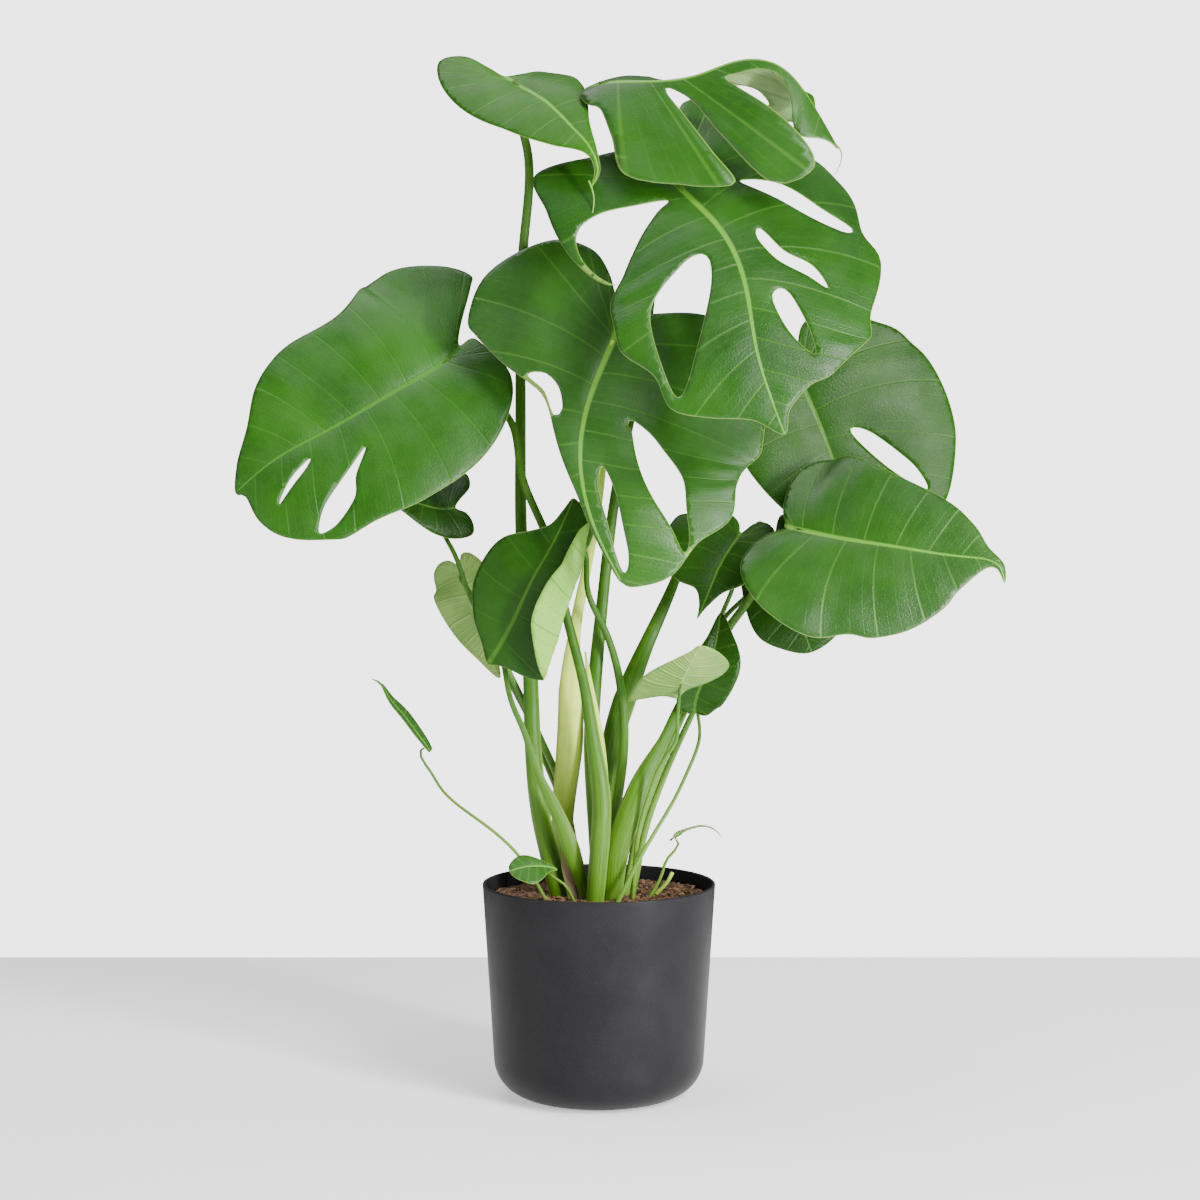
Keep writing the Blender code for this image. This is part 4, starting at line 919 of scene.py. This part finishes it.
class Look:
    """A material's node graph. A value given to a method is a number, a colour or another node's output."""

    def __init__(self, name):
        self.material = bpy.data.materials.new(name)
        self.material.use_nodes = True
        self.tree = self.material.node_tree
        self.shader = self.tree.nodes["Principled BSDF"]

    def put(self, socket, value):
        if isinstance(value, bpy.types.NodeSocket):
            self.tree.links.new(value, socket)
        elif socket.type == "RGBA":
            socket.default_value = (*value, 1.0)
        else:
            socket.default_value = value

    def set(self, **values):
        for name, value in values.items():
            self.put(self.shader.inputs[name.replace("_", " ")], value)

    def node(self, kind, output, inputs, **settings):
        """Adds a node with these inputs, by name or by number, and returns one of its outputs."""
        made = self.tree.nodes.new("ShaderNode" + kind)
        for name, value in settings.items():
            setattr(made, name, value)
        for key, value in inputs.items():
            self.put(made.inputs[key], value)
        return made.outputs[output]

    def attribute(self, name):
        return self.node("Attribute", "Fac", {}, attribute_name=name)

    def math(self, operation, first, second=0.0):
        return self.node("Math", 0, {0: first, 1: second}, operation=operation)

    def fade(self, value, start, end, low=0.0, high=1.0):
        """Smoothly from low at start to high at end."""
        inputs = dict(enumerate((value, start, end, low, high)))
        return self.node("MapRange", 0, inputs, interpolation_type="SMOOTHSTEP")

    def mix(self, part, first, second):
        return self.node("Mix", 2, {0: part, 6: first, 7: second}, data_type="RGBA")

    def paint(self, colour, *layers):
        """Lays (part, strength, tint) over a colour, one after another."""
        for part, strength, tint in layers:
            colour = self.mix(self.math("MULTIPLY", part, strength), colour, tint)
        return colour

    def total(self, *parts):
        """The sum of (value, weight) pairs."""
        found = 0.0
        for value, weight in parts:
            found = self.math("ADD", found, self.math("MULTIPLY", value, weight))
        return found

    def vector(self, x, y, z=0.0):
        return self.node("CombineXYZ", 0, {0: x, 1: y, 2: z})

    def position(self):
        return self.node("TexCoord", "Object", {})

    def noise(self, vector, scale, detail=3.0, roughness=0.55):
        inputs = {"Vector": vector, "Scale": scale, "Detail": detail, "Roughness": roughness}
        return self.node("TexNoise", "Fac", inputs)

    def cells(self, vector, scale):
        inputs = {"Vector": vector, "Scale": scale}
        return self.node("TexVoronoi", "Distance", inputs, feature="DISTANCE_TO_EDGE")

    def bump(self, height, distance):
        inputs = {"Strength": 1.0, "Distance": distance, "Height": height}
        self.put(self.shader.inputs["Normal"], self.node("Bump", "Normal", inputs))


def vein_lines(look):
    """(side veins, fine veins, midrib, margin): each is 1 on the line and 0 away from it."""
    rank, gap = look.attribute("rank"), look.attribute("gap")

    def distance(times):
        counted = look.math("MULTIPLY", rank, times)
        off = look.math("ABSOLUTE", look.math("SUBTRACT", counted, look.math("ROUND", counted)))
        return look.math("DIVIDE", look.math("MULTIPLY", off, gap), times)

    side = look.fade(distance(1.0), 0.3, 1.3, 1.0, 0.0)
    fine = look.fade(distance(4.0), 0.1, 0.8, 1.0, 0.0)
    rib = look.fade(look.attribute("rib"), 0.5, 1.5, 1.0, 0.0)
    line = look.fade(look.attribute("margin"), 0.15, 0.75, 1.0, 0.0)
    return side, fine, rib, line


def upper_look(name, deep, bright, vein, gloss, sheen=0.0):
    """A leaf's glossy upper side."""
    look = Look(name)
    side, fine, rib, line = vein_lines(look)
    flat = look.vector(look.attribute("across"), look.attribute("forward"))
    cloud = look.fade(look.noise(look.position(), 16.0, 3.0), 0.3, 0.75)
    mottle = look.noise(flat, 0.16, 4.0, 0.62)
    streak = look.noise(look.vector(look.math("MULTIPLY", look.attribute("rank"), 9.0), 0.0), 1.0, 2.0)
    colour = look.mix(cloud, deep, bright)
    colour = look.mix(look.fade(mottle, 0.42, 0.7, 0.0, 0.35), colour, bright)
    colour = look.mix(look.fade(streak, 0.45, 0.75, 0.0, 0.12), colour, deep)
    veins = ((fine, 0.03, vein), (side, 0.13, vein), (rib, 0.8, vein))
    colour = look.paint(colour, *veins, (line, 0.55, MARGIN))
    rough = look.fade(look.noise(look.position(), 34.0, 2.0), 0.35, 0.7, 0.32 + sheen, 0.46 + sheen)
    look.set(Base_Color=colour, Roughness=rough, Specular_IOR_Level=gloss)
    pores = look.fade(look.cells(flat, 0.3), 0.0, 0.25)
    grain = look.noise(flat, 0.7, 4.0)
    look.bump(look.total((pores, 0.25), (grain, 0.5), (side, -0.7), (fine, -0.2), (rib, 0.8)), 0.0002)
    return look.material


def under_look(name, deep, bright, vein):
    """A leaf's paler, matt underside."""
    look = Look(name)
    side, fine, rib, line = vein_lines(look)
    flat = look.vector(look.attribute("across"), look.attribute("forward"))
    colour = look.mix(look.fade(look.noise(look.position(), 26.0), 0.36, 0.68), deep, bright)
    colour = look.mix(look.fade(look.noise(flat, 0.35, 4.0), 0.4, 0.75, 0.0, 0.35), colour, deep)
    veins = ((fine, 0.12, vein), (side, 0.4, vein), (rib, 0.85, vein))
    colour = look.paint(colour, *veins, (line, 0.5, MARGIN))
    rough = look.fade(look.noise(flat, 0.2), 0.3, 0.7, 0.48, 0.62)
    look.set(Base_Color=colour, Roughness=rough, Specular_IOR_Level=0.35)
    look.bump(look.total((side, 1.0), (fine, 0.5), (look.noise(flat, 0.8, 4.0), 0.5)), 0.00035)
    return look.material


def rim_look():
    """The cut edge of a blade: a thin pale line."""
    look = Look("leaf_rim")
    spots = look.noise(look.position(), 160.0)
    colour = look.mix(spots, MARGIN, (0.14, 0.27, 0.04))
    look.set(Base_Color=colour, Roughness=look.fade(spots, 0.3, 0.7, 0.4, 0.55))
    return look.material


def stem_look(name, base, middle, top, streak, rough):
    """A smooth stalk: paler at its base, with fine lengthwise streaks, pale wings and a darker knee."""
    look = Look(name)
    forward, around, across = look.attribute("forward"), look.attribute("around"), look.attribute("across")
    colour = look.mix(look.fade(forward, 30.0, 190.0), base, middle)
    colour = look.mix(look.fade(forward, 180.0, 480.0), colour, top)
    scales = ((across, 7.0), (around, 7.0), (forward, 0.012))
    lengthwise = look.vector(*(look.math("MULTIPLY", value, scale) for value, scale in scales))
    grain = look.noise(lengthwise, 1.4, 4.0)
    colour = look.mix(look.fade(grain, 0.42, 0.72, 0.0, 0.6), colour, streak)
    blotch = look.noise(look.position(), 70.0, 3.0)
    colour = look.mix(look.fade(blotch, 0.5, 0.75, 0.0, 0.35), colour, base)
    wing = look.fade(look.math("ABSOLUTE", across), 0.72, 0.98, 0.0, 0.7)
    wing = look.math("MULTIPLY", wing, look.fade(forward, 110.0, 230.0, 1.0, 0.0))
    colour = look.mix(wing, colour, (0.20, 0.32, 0.07))
    knee = look.fade(look.attribute("left"), 8.0, 26.0, 0.45, 0.0)
    colour = look.mix(knee, colour, streak)
    roughness = look.fade(blotch, 0.3, 0.7, rough, rough + 0.16)
    look.set(Base_Color=colour, Roughness=roughness, Specular_IOR_Level=0.25)
    look.bump(look.total((grain, 1.0), (look.noise(look.position(), 900.0), 0.3)), 0.0003)
    return look.material


def pot_look():
    """Satin dark grey with a fine moulded grain."""
    look = Look("pot_satin")
    place = look.position()
    grain = look.noise(place, 1500.0, 2.0, 0.6)
    cloud = look.noise(place, 26.0, 4.0)
    colour = look.mix(look.fade(cloud, 0.35, 0.7), (0.0115, 0.011, 0.0125), (0.015, 0.0145, 0.016))
    colour = look.mix(look.fade(grain, 0.5, 0.72, 0.0, 0.4), colour, (0.030, 0.029, 0.030))
    rough = look.fade(cloud, 0.3, 0.7, 0.36, 0.42)
    look.set(Base_Color=colour, Roughness=rough, Specular_IOR_Level=0.1)
    look.bump(look.total((grain, 1.0), (look.noise(place, 260.0, 2.0), 0.4)), 0.00012)
    return look.material


def soil_look():
    look = Look("soil_mix")
    place = look.position()
    clods = look.noise(place, 240.0, 5.0, 0.7)
    colour = look.mix(look.fade(clods, 0.35, 0.65), (0.020, 0.010, 0.006), (0.105, 0.052, 0.026))
    look.set(Base_Color=colour, Roughness=look.fade(clods, 0.3, 0.7, 0.85, 0.98))
    look.bump(look.total((clods, 1.0), (look.noise(place, 900.0, 3.0), 0.5)), 0.0016)
    return look.material


def litter_look():
    look = Look("soil_coir")
    grain = look.noise(look.position(), 700.0, 3.0)
    shade = look.fade(look.attribute("shade"), 0.0, 1.0)
    colour = look.mix(shade, (0.035, 0.017, 0.010), (0.20, 0.105, 0.052))
    colour = look.mix(look.fade(grain, 0.45, 0.7, 0.0, 0.5), colour, (0.28, 0.16, 0.085))
    look.set(Base_Color=colour, Roughness=look.fade(grain, 0.3, 0.7, 0.8, 0.95))
    look.bump(grain, 0.0005)
    return look.material


def floor_look():
    """A pale floor that glows a little, so that its shadows stay soft."""
    look = Look("floor_pale")
    pale = (0.93, 0.93, 0.93)
    spread = look.noise(look.position(), 3.0, 2.0)
    colour = look.mix(spread, pale, tuple(0.985 * part for part in pale))
    look.set(Base_Color=colour, Roughness=0.75, Specular_IOR_Level=0.2)
    look.set(Emission_Color=pale, Emission_Strength=FLOOR_GLOW)
    return look.material


def leaf_looks():
    """For each kind of leaf: its upper side, underside and rim."""
    rim = rim_look()
    vein = (0.13, 0.33, 0.03)
    under = under_look("leaf_under", (0.085, 0.18, 0.045), (0.14, 0.26, 0.07), (0.22, 0.36, 0.11))
    pale = under_look("leaf_pale", (0.12, 0.24, 0.04), (0.19, 0.32, 0.065), (0.24, 0.38, 0.10))
    # The arched leaf's underside is painted much paler than the other undersides: painted light, lifting a
    # face that lies in shade.
    arched = under_look("leaf_arch_under_painted_light", (0.24, 0.38, 0.14), (0.34, 0.48, 0.20), (0.16, 0.28, 0.08))
    rolled = under_look("leaf_roll_under", (0.15, 0.36, 0.035), (0.22, 0.44, 0.05), (0.10, 0.26, 0.03))
    young = upper_look("leaf_young", (0.05, 0.15, 0.015), (0.085, 0.22, 0.025), (0.24, 0.38, 0.09), 0.3, 0.1)
    looks = {"pale": [young, pale, rim]}
    for kind, below, deep, bright, line, gloss in (
        ("leaf", under, (0.013, 0.062, 0.005), (0.023, 0.096, 0.007), vein, 0.34),
        ("bright", under, (0.010, 0.060, 0.002), (0.018, 0.094, 0.003), (0.045, 0.17, 0.012), 0.26),
        ("front", under, (0.008, 0.050, 0.002), (0.015, 0.080, 0.003), (0.11, 0.30, 0.02), 0.30),
        ("dark", under, (0.008, 0.039, 0.002), (0.014, 0.060, 0.003), (0.06, 0.16, 0.015), 0.14),
        ("arched", arched, (0.010, 0.056, 0.003), (0.018, 0.088, 0.004), vein, 0.32),
        ("rolled", rolled, (0.008, 0.042, 0.002), (0.014, 0.064, 0.003), (0.05, 0.14, 0.012), 0.14),
        ("matt", under, (0.017, 0.078, 0.004), (0.028, 0.115, 0.007), vein, 0.12),
    ):
        looks[kind] = [upper_look("leaf_" + kind, deep, bright, line, gloss), below, rim]
    return looks


def stem_looks():
    """For each kind of stem: its colours at the base, in the middle and at the top, and its streaks."""
    looks = {}
    for kind, name, *colours in (
        ("stem", "stalk",
         (0.085, 0.20, 0.008), (0.036, 0.125, 0.003), (0.045, 0.135, 0.005), (0.018, 0.062, 0.003)),
        ("slim", "stalk_slim",
         (0.15, 0.30, 0.03), (0.05, 0.155, 0.01), (0.045, 0.13, 0.012), (0.024, 0.08, 0.01)),
        ("sheath", "stalk_sheath",
         (0.30, 0.50, 0.05), (0.66, 0.84, 0.13), (0.14, 0.31, 0.02), (0.44, 0.64, 0.07)),
        ("paper", "dry_paper",
         (0.38, 0.27, 0.17), (0.42, 0.33, 0.20), (0.42, 0.32, 0.20), (0.20, 0.20, 0.07)),
    ):
        looks[kind] = stem_look(name, *colours, rough=0.7 if kind == "paper" else 0.33)
    return looks


def area_light(name, place, target, size, power, colour=(1.0, 1.0, 1.0)):
    light = bpy.data.lights.new(name, "AREA")
    light.shape = "RECTANGLE"
    light.size, light.size_y = size
    light.energy = power
    light.color = colour
    made = link(name, light)
    made.location = place
    made.rotation_euler = (Vector(target) - Vector(place)).to_track_quat("-Z", "Y").to_euler()


def build_surround():
    """A pale surround, brighter to look at than as a light."""
    world = bpy.data.worlds.new("surround")
    world.use_nodes = True
    tree = world.node_tree
    background = tree.nodes["Background"]
    background.inputs["Color"].default_value = (1.0, 1.0, 1.0, 1.0)
    rays = tree.nodes.new("ShaderNodeLightPath")
    level = tree.nodes.new("ShaderNodeMapRange")
    level.inputs["To Min"].default_value = SURROUND_LIGHT
    level.inputs["To Max"].default_value = WALL_BRIGHTNESS
    tree.links.new(rays.outputs["Is Camera Ray"], level.inputs["Value"])
    tree.links.new(level.outputs[0], background.inputs["Strength"])
    bpy.context.scene.world = world


def build_stage():
    """A pale floor that ends behind the plant, soft lights and the camera."""
    mesh = bpy.data.meshes.new("floor")
    reach = FLOOR_REACH
    corners = [(-reach, -reach, 0), (reach, -reach, 0), (reach, FLOOR_END, 0), (-reach, FLOOR_END, 0)]
    mesh.from_pydata(corners, [], [(0, 1, 2, 3)])
    mesh.materials.append(floor_look())
    floor = link("floor", mesh)
    build_surround()
    area_light("key", (1.5, -1.8, 2.1), (0.0, 0.0, 0.4), (1.2, 1.2), 115.0, (1.0, 0.99, 0.97))
    area_light("strip", (1.75, -1.75, 0.45), (0.0, 0.0, 0.1), (0.22, 1.1), 110.0)
    area_light("top", (-0.4, 0.2, 2.3), (0.0, 0.0, 0.5), (1.5, 1.5), 28.0)
    area_light("fill", (-2.0, -1.2, 1.0), (0.0, 0.0, 0.4), (1.4, 1.4), 16.0, (0.97, 0.985, 1.0))
    camera = bpy.data.cameras.new("camera")
    camera.lens = CAMERA_LENS
    camera.sensor_width = 36.0
    made = link("camera", camera)
    made.location = CAMERA_PLACE
    made.rotation_euler = (math.radians(90 - CAMERA_PITCH), 0.0, 0.0)
    bpy.context.scene.camera = made


def main():
    build_stage()
    leaves, stems = leaf_looks(), stem_looks()
    build_pot(pot_look())
    build_soil(soil_look(), litter_look())
    blades = {name: build_leaf(name, leaf, leaves) for name, leaf in LEAVES.items()}
    for name, stem in STEMS.items():
        build_stem(name, stem, blades, stems)
    for name, route in TAILS.items():
        build_tail(name, route, leaves["leaf"][2])


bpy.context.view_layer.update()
main()
